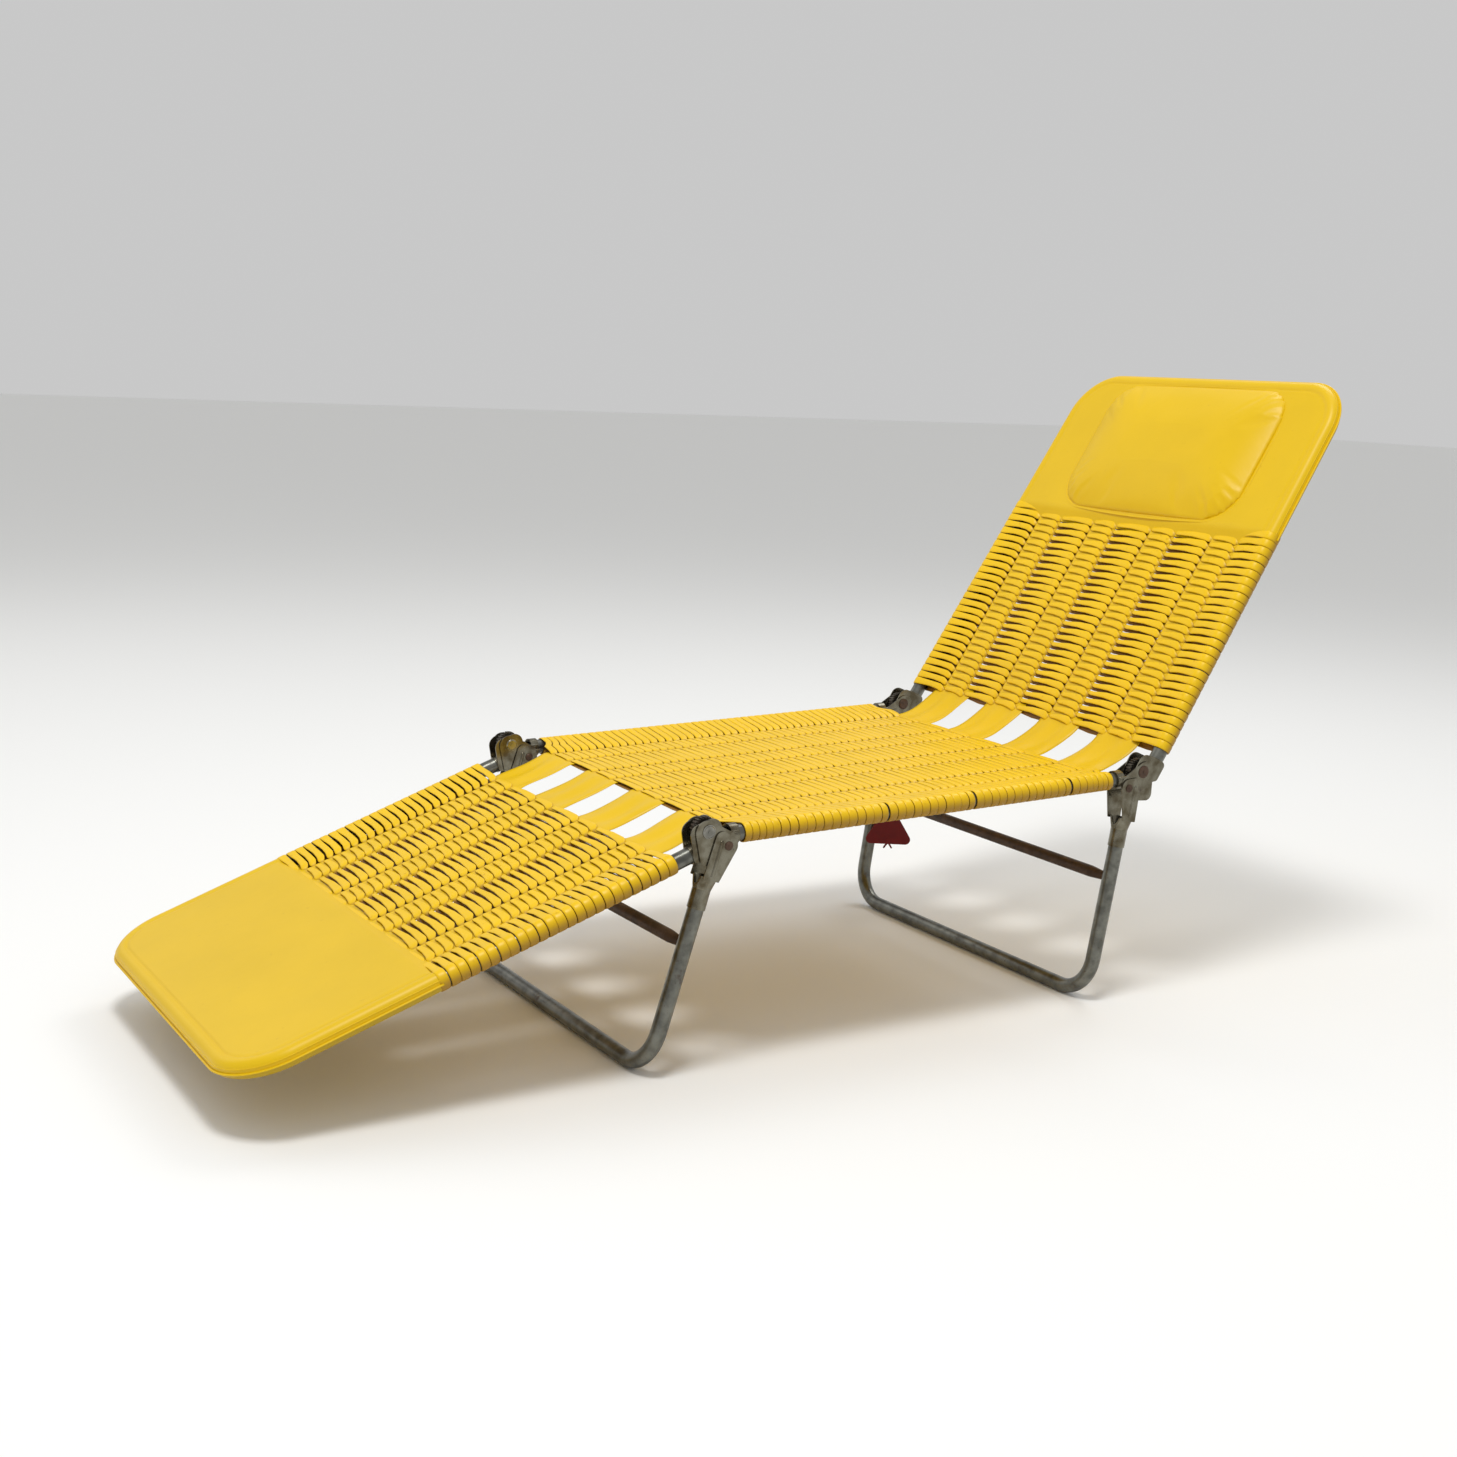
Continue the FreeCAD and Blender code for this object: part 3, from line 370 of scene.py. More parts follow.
def tag_finish(colours):
    """Moulded polystyrene: dark red, half-gloss, with faint flow marks."""
    material, tree, shader = new_material("moulded_red_plastic", Roughness=0.4, IOR=1.55,
                                          Specular_IOR_Level=0.25)
    spot = spots(tree)
    flow = noise(tree, spot, 12 * MM, 3.0)
    tree.links.new(mixed(tree, flow, toned(colours.tag, 0.8), toned(colours.tag, 1.2)),
                   shader.inputs["Base Color"])
    tree.links.new(bumped(tree, flow, 0.15, 0.1 * MM), shader.inputs["Normal"])
    return material


MATERIALS = {}


def finish(kind):
    """The finish of this kind, made once."""
    if kind not in MATERIALS:
        c = bpy.context.scene.lounger_colours
        steel = steel_finish
        makers = {
            "strip": lambda: pvc_strip_finish(c),
            "sheet": lambda: pvc_sheet_finish("calendered_pvc_sheet", c.sheet, c.soil, 1.2 * MM),
            # painted shade: the covers' lower skin is the sheet darkened to stand for the shade underneath
            "under sheet": lambda: pvc_sheet_finish("calendered_pvc_sheet_underside_painted_shade",
                                                    toned(c.sheet, 0.62), c.soil, 1.2 * MM),
            "strap": lambda: pvc_sheet_finish("calendered_pvc_strap", c.strap, c.soil, 1.6 * MM),
            "tube": lambda: steel("drawn_steel_tube", c.tube, toned(c.tube, 0.55), c.rust, 0.45, 0.3),
            "rusted": lambda: steel("rusted_steel_tube", toned(c.rust, 1.3), toned(c.rust, 0.8),
                                    toned(c.rust, 0.9), 0.8, 0.5, 0.5),
            "pressed": lambda: steel("pressed_steel_sheet", c.pressed, c.film, c.rust, 0.3, 0.26),
            "ratchet": lambda: steel("stamped_ratchet_steel", c.ratchet, toned(c.film, 0.4), c.rust,
                                     0.7, 0.38),
            "dark rivet": lambda: steel("rusted_rivet_steel", toned(c.rust, 1.5), c.rust,
                                        toned(c.rust, 0.8), 0.6, 0.4, 0.6),
            "rivet": lambda: steel("cold_headed_rivet_steel", c.rivet, toned(c.rivet, 0.5), c.rust, 0.2, 0.2),
            "tag": lambda: tag_finish(c),
            "wire": lambda: steel("drawn_steel_wire", c.tube, toned(c.tube, 0.5), c.rust, 0.4, 0.35),
        }
        MATERIALS[kind] = makers[kind]()
    return MATERIALS[kind]


# ---- the woven strip ----
TURN_REACH = 22 * MM  # a strand changes sides over this length
BESIDE_CROSSING = np.arange(-15, 16, 3) * MM  # steps of a strand's line round each crossing
OUTER_SHARES = np.array([0.3, 0.5, 0.7, 0.85, 1.0])  # and between the last crossing and the rail
WRAP_STEPS = 15
TUCKED_ANGLE = math.radians(160)
PLACE_SPREAD = 0.28 * MM  # how unevenly rows lie
WIDTH_SPREAD = 0.02  # and how unevenly wide they are
WRAP_SLACK = 0.1 * MM  # between the tube and the strip round it
SHIFT_FROM = 34 * MM  # a row by a leg head starts to shift this far
SHIFT_LENGTH = 18 * MM  # inside the rail's axis, over this length
OPEN_WRAP_LENGTH = 16 * MM  # an open wrap narrows over this length
OPEN_WRAP_NARROWING = 0.26
OPEN_WRAP_SHIFT = 1.3 * MM
BUNCHED_ROWS = 4  # spaces between rows that close up by a leg head


def crossing_lines(settings):
    """The lines where the two strands of a row cross: at both edges of every lengthwise strap."""
    half = settings.strap_width / 2
    return np.sort(np.concatenate([STRAP_PLACES - half, STRAP_PLACES + half]))


def strand_turn(x, lines):
    """How far a strand has twisted at x: half a turn, eased in and out, at each crossing line."""
    steps = smoothstep((x[..., None] - lines) / TURN_REACH + 0.5)
    return math.pi * steps.sum(axis=-1)


def place_in_column(x, lines):
    """0 just after a crossing line, 1 just before the next."""
    edges = np.concatenate([[-RAIL_HALF], lines, [RAIL_HALF]])
    column = np.clip(np.searchsorted(edges, x, side="right") - 1, 0, len(edges) - 2)
    return (x - edges[column]) / (edges[column + 1] - edges[column])


def strand(settings, halves, wrap_radius, slack, leaves, lower):
    """The upper or the lower strand of every row, from one rail's wrap to the other's.

    Turn t gives height rise * cos t and sideways offset -side * sin t. Between crossings the upper
    strand bows one way and the lower the other, by a sine. Outside the last crossing each follows a
    straight line to where it meets the wrap's circle, at the angle where it leaves the rail.
    """
    lines = crossing_lines(settings)
    last = lines[-1]
    side = (1.2 + 1.0 * slack) * MM
    middle = [(a + b) / 2 for a, b in zip(lines, lines[1:])]
    inner = np.unique(np.concatenate([(lines[:, None] + BESIDE_CROSSING).ravel(), middle]))
    inner = inner[np.abs(inner) < last + 15 * MM]
    touch_x = halves + wrap_radius * np.cos(leaves)
    start = last + 14 * MM
    outer = start + (touch_x[:, None] - start) * OUTER_SHARES
    inner_rows = np.broadcast_to(inner, (len(halves), len(inner)))
    x = np.concatenate([-outer[:, ::-1], inner_rows, outer], axis=1)
    outside = np.abs(x) > last
    slope = (wrap_radius * np.sin(leaves) / (touch_x - last))[:, None]
    rise_out = np.clip(np.abs(x) - last, 0, None) * slope
    fade = 1 - smoothstep((np.abs(x) - last - 12 * MM) / (35 * MM))
    turn = strand_turn(x, lines) + (math.pi if lower else 0.0)
    local = place_in_column(x, lines)
    away = np.clip((np.abs(x) - last) / (touch_x[:, None] - last), 0, 1)
    arch = np.where(outside, 0.5 * np.sin(math.pi * away), np.sin(math.pi * local))
    top = np.cos(turn)
    height = settings.rise * (0.72 + 0.28 * slack) * top * fade * (1 + 0.25 * slack * np.sin(math.pi * local))
    height = height + np.where(lower, -rise_out, rise_out)
    upper = np.where(outside, -1.0 if lower else 1.0, 2 * smoothstep(0.5 + 0.7 * top) - 1)
    bow = settings.bow * (0.5 + 0.5 * slack) * arch * upper
    offset = -side * np.sin(turn) * fade + bow
    spread = smoothstep(local * 1.25 - 0.12)
    lens = 1.01 if lower else 1.04 - 0.2 * slack * np.sin(math.pi * away)
    flare = np.where(outside, lens, 1.06 - 0.40 * slack * (1 - spread) - 0.05 * (1 - spread))
    width = settings.strip_width * flare * (1 - (0.12 + 0.16 * slack) * np.sin(turn) ** 2 * fade)
    width = width * np.where(upper < 0, 1.1, 1.0)
    above = np.where(outside, -1.0 if lower else 1.0, top)
    facing = -above if lower else above
    # painted shade: the strand underneath is given less painted light than the one on top
    painted_light = 0.6 + 0.4 * smoothstep(0.5 + 0.5 * above)
    return x, offset, height, width, facing, painted_light


def rail_wrap(settings, halves, wrap_radius, leaves_over, leaves_under):
    """The strip round the near rail: a circle, from the angle of the upper strand to the lower's."""
    sweep = np.linspace(0, 1, WRAP_STEPS + 2)[1:-1]
    angle = leaves_over[:, None] - (leaves_over + leaves_under)[:, None] * sweep
    x = halves[:, None] + wrap_radius * np.cos(angle)
    width = np.full(x.shape, settings.strip_width * 1.055)
    # painted shade: the wrap is darker towards the bottom of the rail and lighter at its top
    painted_light = 0.2 + 0.8 * smoothstep(0.33 + 0.66 * np.sin(angle))
    return x, np.zeros(x.shape), wrap_radius * np.sin(angle), width, np.ones(x.shape), painted_light


def row_loops(settings, halves, wrap_radius, slack, tucked):
    """Each woven row as one closed loop: out over the panel, round a rail, back under it, round the other.

    A strand leaves the rail on the line that just touches the wrap's circle and ends at the last
    crossing. A row that is tucked (1, or a share of it) keeps its lower strand on the rail for longer.
    A slack weave lets the strands narrow where they start and bow more. Returns, rows by steps: x,
    sideways offset, height, width, which of the strip's two flat sides faces out (1 the outer, -1 the
    inner), and the share of painted light at that place, which is painted shade: less underneath and
    round the bottom of the wraps.
    """
    gap = halves - crossing_lines(settings)[-1]
    leaves_over = math.pi / 2 + np.arcsin(wrap_radius / gap)
    leaves_under = leaves_over + tucked * (TUCKED_ANGLE - leaves_over)
    over = strand(settings, halves, wrap_radius, slack, leaves_over, False)
    under = strand(settings, halves, wrap_radius, slack, leaves_under, True)
    near = rail_wrap(settings, halves, wrap_radius, leaves_over, leaves_under)
    loops = []
    for number, (above, wrapped, below) in enumerate(zip(over, near, under)):
        far = -wrapped[:, ::-1] if number == 0 else wrapped[:, ::-1]
        loops.append(np.concatenate([above, wrapped, below[:, ::-1], far], axis=1))
    return loops


def strip_section(count):
    """The strip's cross-section, a flattened oval: |cos|^0.55 wide by |sin|^0.8 thick."""
    angle = np.arange(count) * 2 * math.pi / count
    wide = np.sign(np.cos(angle)) * np.abs(np.cos(angle)) ** 0.55
    thick = np.sign(np.sin(angle)) * np.abs(np.sin(angle)) ** 0.8
    return wide / 2, thick / 2


def bunched(v, limits, pitch):
    """How far each row's wraps shift along the rails to stay between two limits: the five rows next
    to a limit are spaced evenly, from the limit to the fifth row's own place."""
    shift = np.zeros(len(v))
    for limit, toward, end_row in ((limits[0], 1, v[0]), (limits[1], -1, v[-1])):
        depth = toward * (v - end_row)
        room = toward * (limit - end_row)
        if 0 < room < BUNCHED_ROWS * pitch:
            shift += toward * room * np.clip(1 - depth / (BUNCHED_ROWS * pitch), 0, 1)
    return shift


def woven_rows(name, panel, settings, first, count, slack, chance, gaps, limits):
    """Rows of twined strip: a flattened oval carried round each row's closed loop.

    A gap is a place along the panel where the wraps round the near rail stand apart. Limits are
    where folded leg heads need room: the rows beside them bunch up along the rails, and are tucked.
    """
    v = first + settings.pitch * np.arange(count) + chance.normal(0, PLACE_SPREAD, count)
    halves = panel.half(v)
    wrap_radius = TUBE_RADIUS + WRAP_SLACK + settings.strip_thickness / 2
    shift = np.zeros(count)
    tucked = np.zeros(count)
    if limits:
        shift = bunched(v, limits, settings.pitch)
        from_limits = np.minimum(np.abs(v - limits[0]), np.abs(v - limits[1]))
        tucked = np.clip(1.9 - from_limits / (1.5 * settings.pitch), 0, 1)
    x, offset, height, width, facing, painted_light = row_loops(settings, halves, wrap_radius, slack, tucked)
    width = width * ((1.045 - 0.04 * slack) * (1 + chance.normal(0, WIDTH_SPREAD, (count, 1))))
    past_rail = np.abs(x) - halves[:, None]
    beside_rails = smoothstep((past_rail + SHIFT_FROM) / SHIFT_LENGTH)
    offset = offset + shift[:, None] * beside_rails
    width = width * (1 - np.abs(np.gradient(shift))[:, None] / settings.pitch * beside_rails)
    for gap in gaps:
        row = int(np.argmin(np.abs(v - gap)))
        near_rail = smoothstep((past_rail[row] + OPEN_WRAP_LENGTH) / OPEN_WRAP_LENGTH) * (x[row] > 0)
        width[row] *= 1 - OPEN_WRAP_NARROWING * near_rail
        offset[row] -= OPEN_WRAP_SHIFT * near_rail
    offset = offset * panel.way
    ahead = np.roll(x, -1, axis=1) - np.roll(x, 1, axis=1)
    climb = np.roll(height, -1, axis=1) - np.roll(height, 1, axis=1)
    size = np.hypot(ahead, climb)
    out_x = -climb / size
    out_w = ahead / size
    wide, thick = strip_section(10)
    across = (v[:, None] + offset)[..., None] + width[..., None] * wide
    lift = settings.strip_thickness * thick
    px = x[..., None] + out_x[..., None] * lift
    pw = height[..., None] + out_w[..., None] * lift
    points = panel.place(px, across, pw)
    step_x = np.diff(x, axis=1, prepend=x[:, :1])
    step_h = np.diff(height, axis=1, prepend=height[:, :1])
    run = np.cumsum(np.hypot(step_x, step_h), axis=1) + 3.7 * np.arange(count)[:, None]
    uv = np.stack(np.broadcast_arrays(run[..., None], width[..., None] * wide), axis=-1)
    rows, steps, corners = px.shape
    ring = grid_faces(steps, corners, close_rows=True, close_cols=True)
    if panel.way < 0:
        ring = ring[:, ::-1]
    faces = (ring[None] + (np.arange(rows) * steps * corners)[:, None, None]).reshape(-1, 4)
    obj = add_piece(name, points, faces, finish("strip"), uv)
    # painted shade: the strip's inner faces inside the weave get less painted light, on top of each strand's own
    # share
    painted_light_layer = obj.data.attributes.new("painted_light", "FLOAT", "POINT")
    lighted = painted_light[..., None] * smoothstep(0.5 + 1.5 * facing[..., None] * thick)
    painted_light_layer.data.foreach_set("value", lighted.ravel().astype(np.float32))
    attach(obj, panel.body)
    return obj


class LOUNGER_OT_weave(bpy.types.Operator):
    """Twines the yellow strip over the seat, the foot section and the back"""
    bl_idname = "lounger.weave"
    bl_label = "Woven panels"

    def execute(self, context):
        settings = context.scene.lounger_weave
        chance = np.random.default_rng(SEED)
        seat_limits = (LEG_HEAD_ROOM, SEAT_SPAN - LEG_HEAD_ROOM)
        for name, start, end, slack, gaps, limits in (
                ("seat", SEAT_WEAVE_START, SEAT_SPAN - SEAT_WEAVE_START, SEAT_SLACK, OPEN_WRAPS, seat_limits),
                ("foot", FOOT_WEAVE_START, FOOT_WEAVE_END, SECTION_SLACK, (), ()),
                ("back", BACK_WEAVE_START, BACK_WEAVE_END, SECTION_SLACK, (), ())):
            panel = PANELS[name]
            count = int(round((end - start) / settings.pitch)) + 1
            half = count // 2
            second = start + half * settings.pitch
            for letter, first, rows in (("a", start, half), ("b", second, count - half)):
                inside = [g for g in gaps if first <= g < first + rows * settings.pitch]
                piece = woven_rows("%s_weave_rows_%s" % (name, letter), panel, settings, first, rows, slack,
                                   chance, inside, limits)
                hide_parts(name + "_weave")
        return {"FINISHED"}


# ---- welded covers ----
MOUTH_TUCK = 10 * MM  # how far the mouth slides under the last woven rows
SEAM_THICKNESS = 1.8 * MM
SEAM_LAP = 0.4 * MM  # how far the seam's bead reaches into the skin
WELD_INSET = 1.1 * MM  # from the skin's edge in to the line where the two skins are welded
WELD_HEIGHT = 4.9 * MM
WELD_WIDTH = 1.6 * MM
WELD_THICKNESS = 1.3 * MM
BEAD_START = 4 * MM  # from the mouth to where both beads start


def axis_distance(panel, x, v):
    """Distance outside the U tube's axis line: the rounded corner's circle, or the nearer straight side."""
    corner_v = panel.length - FRAME_CORNER
    across = np.abs(x) - panel.half(v) + FRAME_CORNER
    past = v - corner_v
    in_corner = (across > 0) & (past > 0)
    straight = np.maximum(across, past)
    return np.where(in_corner, np.hypot(across, past), straight) - FRAME_CORNER


def outline_half(panel, v, outset):
    """Half the width, at v, of a line drawn this far outside the U tube's axis."""
    past = np.clip(v - (panel.length - FRAME_CORNER), 0, None)
    reach = FRAME_CORNER + outset
    return panel.half(v) - FRAME_CORNER + np.sqrt(np.clip(reach ** 2 - past ** 2, 0, None))


def skin_height(panel, x, v, radius, plateau, start, chance_phase):
    """Height of a tight skin over the U tube: a circle over the tube that eases into a plateau inside it,
    with two slow waves for the pull of the sheet, and falls to the weave's middle at its open end."""
    d = axis_distance(panel, x, v)
    over_tube = np.sqrt(np.clip(radius ** 2 - d ** 2, 0, None))
    waves = 0.5 * MM * np.sin(x / 0.071 + chance_phase) * np.sin(v / 0.047 + 2 * chance_phase)
    inside = smoothstep(-d / (9 * MM))
    level = (plateau + waves * smoothstep(-d / (60 * MM))) * inside
    level = level * smoothstep((v - start + 12 * MM) / (27 * MM)) + 0.5 * MM * inside
    sag = 0.8 * MM * smoothstep(-d / (140 * MM))
    level = level - sag * inside
    blend = 1.2 * MM
    return 0.5 * (over_tube + level + np.sqrt((over_tube - level) ** 2 + (blend * inside) ** 2))


def cover_skin(name, panel, settings, start, phase):
    """The welded envelope: an upper and a lower skin on one grid, which meet along the outline.

    The mouth slides under the last woven rows between the tubes. Rows crowd towards the outer end
    and columns towards the sides, by the cosine of an even angle.
    """
    radius = TUBE_RADIUS + settings.wall
    tip = panel.length + radius
    rows, cols = 130, 96
    along = start + (tip - start) * np.sin(np.linspace(0, math.pi / 2, rows))
    across = -np.cos(np.linspace(0, math.pi, cols))
    v = along[:, None] + 0 * across[None, :]
    x = outline_half(panel, v, radius) * across[None, :]
    tucked = smoothstep((panel.half(v) - np.abs(x) - 16 * MM) / (12 * MM))
    v = v - MOUTH_TUCK * tucked * (1 - smoothstep((v - start) / (40 * MM)))
    h = skin_height(panel, x, v, radius, settings.plateau, start, phase)
    h[-1] = 0
    h[:, 0] = 0
    h[:, -1] = 0
    top = panel.place(x, v, h)
    low = panel.place(x, v, -h)
    points = np.concatenate([top.reshape(-1, 3), low.reshape(-1, 3)])
    quads = grid_faces(rows, cols)
    upper = quads if panel.way > 0 else quads[:, ::-1]
    under = quads[:, ::-1] if panel.way > 0 else quads
    mouth = np.arange(cols - 1)
    wall = np.stack([mouth + 1, mouth, mouth + rows * cols, mouth + 1 + rows * cols], axis=-1)
    if panel.way > 0:
        wall = wall[:, ::-1]
    faces = np.concatenate([upper, under + rows * cols, wall])
    obj = add_piece(name, points, faces, finish("sheet"))
    # painted shade: the lower skin takes the darkened underside sheet
    obj.data.materials.append(finish("under sheet"))
    below = np.zeros(len(faces), dtype=np.int32)
    below[len(upper):len(upper) + len(under)] = 1
    obj.data.polygons.foreach_set("material_index", below)
    return obj


def outline_path(panel, start, outset, count):
    """Points along a line drawn outside the U tube's axis: one side, the end, the other side."""
    tip = panel.length + outset
    turn = np.linspace(0, math.pi / 2, count)
    reach = FRAME_CORNER + outset
    corner_v = panel.length - FRAME_CORNER + reach * np.sin(turn)
    corner_x = panel.half(corner_v) - FRAME_CORNER + reach * np.cos(turn)
    side_v = np.linspace(start, panel.length - FRAME_CORNER, count)[:-1]
    side_x = panel.half(side_v) + outset
    end_x = np.linspace(corner_x[-1], 0, count)[1:]
    end_v = np.full(count - 1, tip)
    half_x = np.concatenate([side_x, corner_x, end_x])
    half_v = np.concatenate([side_v, corner_v, end_v])
    x = np.concatenate([half_x, -half_x[-2::-1]])
    v = np.concatenate([half_v, half_v[-2::-1]])
    return x, v


def flat_bead(name, panel, x, v, w, wide, thick, material, closed=False):
    """A flat welded bead: a flattened oval, wide in the panel's plane, carried along a line in it."""
    dx = np.gradient(x)
    dv = np.gradient(v)
    if closed:
        dx = np.roll(x, -1) - np.roll(x, 1)
        dv = np.roll(v, -1) - np.roll(v, 1)
    size = np.hypot(dx, dv)
    nx = dv / size
    nv = -dx / size
    a, b = strip_section(10)
    px = x[:, None] + nx[:, None] * wide * a
    pv = v[:, None] + nv[:, None] * wide * a
    pw = w + 0 * px + thick * b
    points = panel.place(px, pv, pw)
    faces = grid_faces(len(x), len(a), close_rows=closed, close_cols=True)
    if panel.way > 0:
        faces = faces[:, ::-1]
    if not closed:
        ring = np.arange(len(a))
        ends = [ring.tolist(), (ring + (len(x) - 1) * len(a))[::-1].tolist()]
        if panel.way > 0:
            ends = [end[::-1] for end in ends]
        faces = faces.tolist() + ends
    return add_piece(name, points, faces, material)


class LOUNGER_OT_covers(bpy.types.Operator):
    """Stretches the two welded covers over the ends of the frame"""
    bl_idname = "lounger.covers"
    bl_label = "End covers"

    def execute(self, context):
        settings = context.scene.lounger_cover
        radius = TUBE_RADIUS + settings.wall
        for name, panel, start, phase in (("foot_cover", PANELS["foot"], FOOT_WEAVE_END, 0.4),
                                          ("head_cover", PANELS["back"], BACK_WEAVE_END, 1.9)):
            pieces = [cover_skin(name + "_skin", panel, settings, start, phase)]
            x, v = outline_path(panel, start + BEAD_START, radius + settings.seam / 2 - SEAM_LAP, 40)
            pieces.append(flat_bead(name + "_seam", panel, x, v, 0.0, settings.seam + 2 * SEAM_LAP,
                                    SEAM_THICKNESS, finish("sheet")))
            x, v = outline_path(panel, start + BEAD_START, radius - WELD_INSET, 40)
            pieces.append(flat_bead(name + "_weld", panel, x, v, WELD_HEIGHT, WELD_WIDTH, WELD_THICKNESS,
                                    finish("sheet")))
            for piece in pieces:
                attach(piece, panel.body)
                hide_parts(name)
        return {"FINISHED"}


# ---- head pillow ----
PILLOW_TO_END = 8 * MM  # from the pillow's upper edge to the end of the back
PILLOW_SINK = 1.2 * MM  # how far its welded edge lies below the cover's middle
HEM_WIDTH = 3.6 * MM
HEM_THICKNESS = 0.7 * MM
HEM_OUTSET = 1.2 * MM
VOXEL = 4.5 * MM
LARGEST_SWELL = 7 * MM  # the furthest that the simulation may move a point
SIMULATED_FRAMES = 20
CLOTH = {"use_pressure": True, "uniform_pressure_force": 4.0, "quality": 6, "mass": 0.25,
         "tension_stiffness": 12, "compression_stiffness": 12, "shear_stiffness": 5,
         "bending_stiffness": 0.6, "vertex_group_mass": "weld"}


def rounded_distance(x, y, half_x, half_y, corner):
    """Distance inside a rounded rectangle's outline."""
    ax = np.abs(x) - half_x + corner
    ay = np.abs(y) - half_y + corner
    outside = np.hypot(np.clip(ax, 0, None), np.clip(ay, 0, None)) + np.minimum(np.maximum(ax, ay), 0)
    return corner - outside


def pillow_outline(x, y, half_x, half_y, corner):
    """Draws a square grid in to a rounded rectangle: x scaled by the corner circle's half width at y."""
    past = np.clip(np.abs(y) - half_y + corner, 0, None)
    limit = half_x - corner + np.sqrt(np.clip(corner ** 2 - past ** 2, 0, None))
    return x * limit


def belly_stretch(x, y, half_x, half_y, belly):
    """How much longer the pillow is at x: its lower edge bulges by belly * (1 - (x / half width)^2)."""
    share = 1 - np.clip(x / half_x, -1, 1) ** 2
    return 1 + belly * np.where(y < 0, 1.0, 0.2) * share / half_y


def pillow_crown(x, y, settings, half_x, half_y):
    """Height of the pillow's top over its welded edge: tanh(distance / 19 mm), with small folds that
    fan out from each corner."""
    d = np.clip(rounded_distance(x, y, half_x, half_y, settings.corner), 0, None)
    crown = (settings.height - 4 * MM) * np.tanh(d / (19 * MM))
    corner_x = np.abs(x) - half_x + settings.corner
    corner_y = np.abs(y) - half_y + settings.corner
    fan = np.arctan2(corner_y, corner_x)
    near = smoothstep((corner_x + 14 * MM) / (20 * MM)) * smoothstep((corner_y + 14 * MM) / (20 * MM))
    band = smoothstep(d / (5 * MM)) * (1 - smoothstep((d - 10 * MM) / (22 * MM)))
    strength = np.where(x > 0, 1.0, 0.5)
    return crown + 1.1 * MM * strength * near * band * np.sin(15 * fan + 0.6), d


class LOUNGER_OT_pillow(bpy.types.Operator):
    """Blows up the padded head rest as a cloth bag and welds it to the cover"""
    bl_idname = "lounger.pillow"
    bl_label = "Head pillow"

    def execute(self, context):
        settings = context.scene.lounger_pillow
        panel = PANELS["back"]
        base = context.scene.lounger_cover.plateau - PILLOW_SINK
        centre = panel.length - PILLOW_TO_END - settings.length / 2
        half_x = settings.width / 2
        half_y = settings.length / 2
        rows, cols = 60, 90
        y = -half_y * np.cos(np.linspace(0, math.pi, rows))[:, None]
        x = -np.cos(np.linspace(0, math.pi, cols))[None, :]
        x = pillow_outline(x, y, half_x, half_y, settings.corner)
        y = y + 0 * x
        crown, d = pillow_crown(x, y, settings, half_x, half_y)
        along = centre + y * belly_stretch(x, y, half_x, half_y, settings.belly)
        top = panel.place(x, along, base + 1 * MM + crown)
        low = panel.place(x, along, base - 2.0 * MM * smoothstep(d / (4 * MM)))
        points = np.concatenate([top.reshape(-1, 3), low.reshape(-1, 3)])
        quads = grid_faces(rows, cols)
        count = rows * cols
        last = cols - 1
        loop = np.concatenate([np.arange(cols), np.arange(1, rows) * cols + last,
                               (rows - 1) * cols + np.arange(last - 1, -1, -1),
                               np.arange(rows - 2, 0, -1) * cols])
        after = np.roll(loop, -1)
        border = np.stack([after, loop, loop + count, after + count], axis=-1)
        faces = np.concatenate([quads, quads[:, ::-1] + count, border])
        bag = add_piece("head_pillow_bag", points, faces, finish("sheet"))
        inflate(bag, panel, centre, base, settings, half_x, half_y)
        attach(bag, panel.body)
        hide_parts("head_pillow")
        hem_x, hem_y = pillow_edge(settings, half_x, half_y, HEM_OUTSET)
        hem = flat_bead("head_pillow_hem", panel, hem_x, centre + hem_y, base + 1 * MM, HEM_WIDTH,
                        HEM_THICKNESS, finish("sheet"), closed=True)
        recalculated(hem)
        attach(hem, panel.body)
        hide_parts("head_pillow")
        return {"FINISHED"}


def pillow_edge(settings, half_x, half_y, outset):
    """The pillow's outline as a closed line: four quarter circles and straight sides, with the belly."""
    corner = settings.corner
    turn = np.linspace(0, math.pi / 2, 14)
    x_parts = []
    y_parts = []
    for quarter, (sx, sy) in enumerate(((1, 1), (-1, 1), (-1, -1), (1, -1))):
        angle = turn + quarter * math.pi / 2
        x_parts.append(sx * (half_x - corner) + (corner + outset) * np.cos(angle))
        y_parts.append(sy * (half_y - corner) + (corner + outset) * np.sin(angle))
        if quarter % 2 == 0:
            side = np.linspace(1, -1, 22)[1:-1]
            x_parts.append(sx * side * (half_x - corner))
            y_parts.append(sy * (half_y + outset) + 0 * side)
    x = np.concatenate(x_parts)
    y = np.concatenate(y_parts)
    return x, y * belly_stretch(x, y, half_x, half_y, settings.belly)


def vertex_places(mesh):
    """A mesh's vertices as an array of places."""
    places = np.empty(len(mesh.vertices) * 3, dtype=np.float32)
    mesh.vertices.foreach_get("co", places)
    return places.reshape(-1, 3).astype(float)


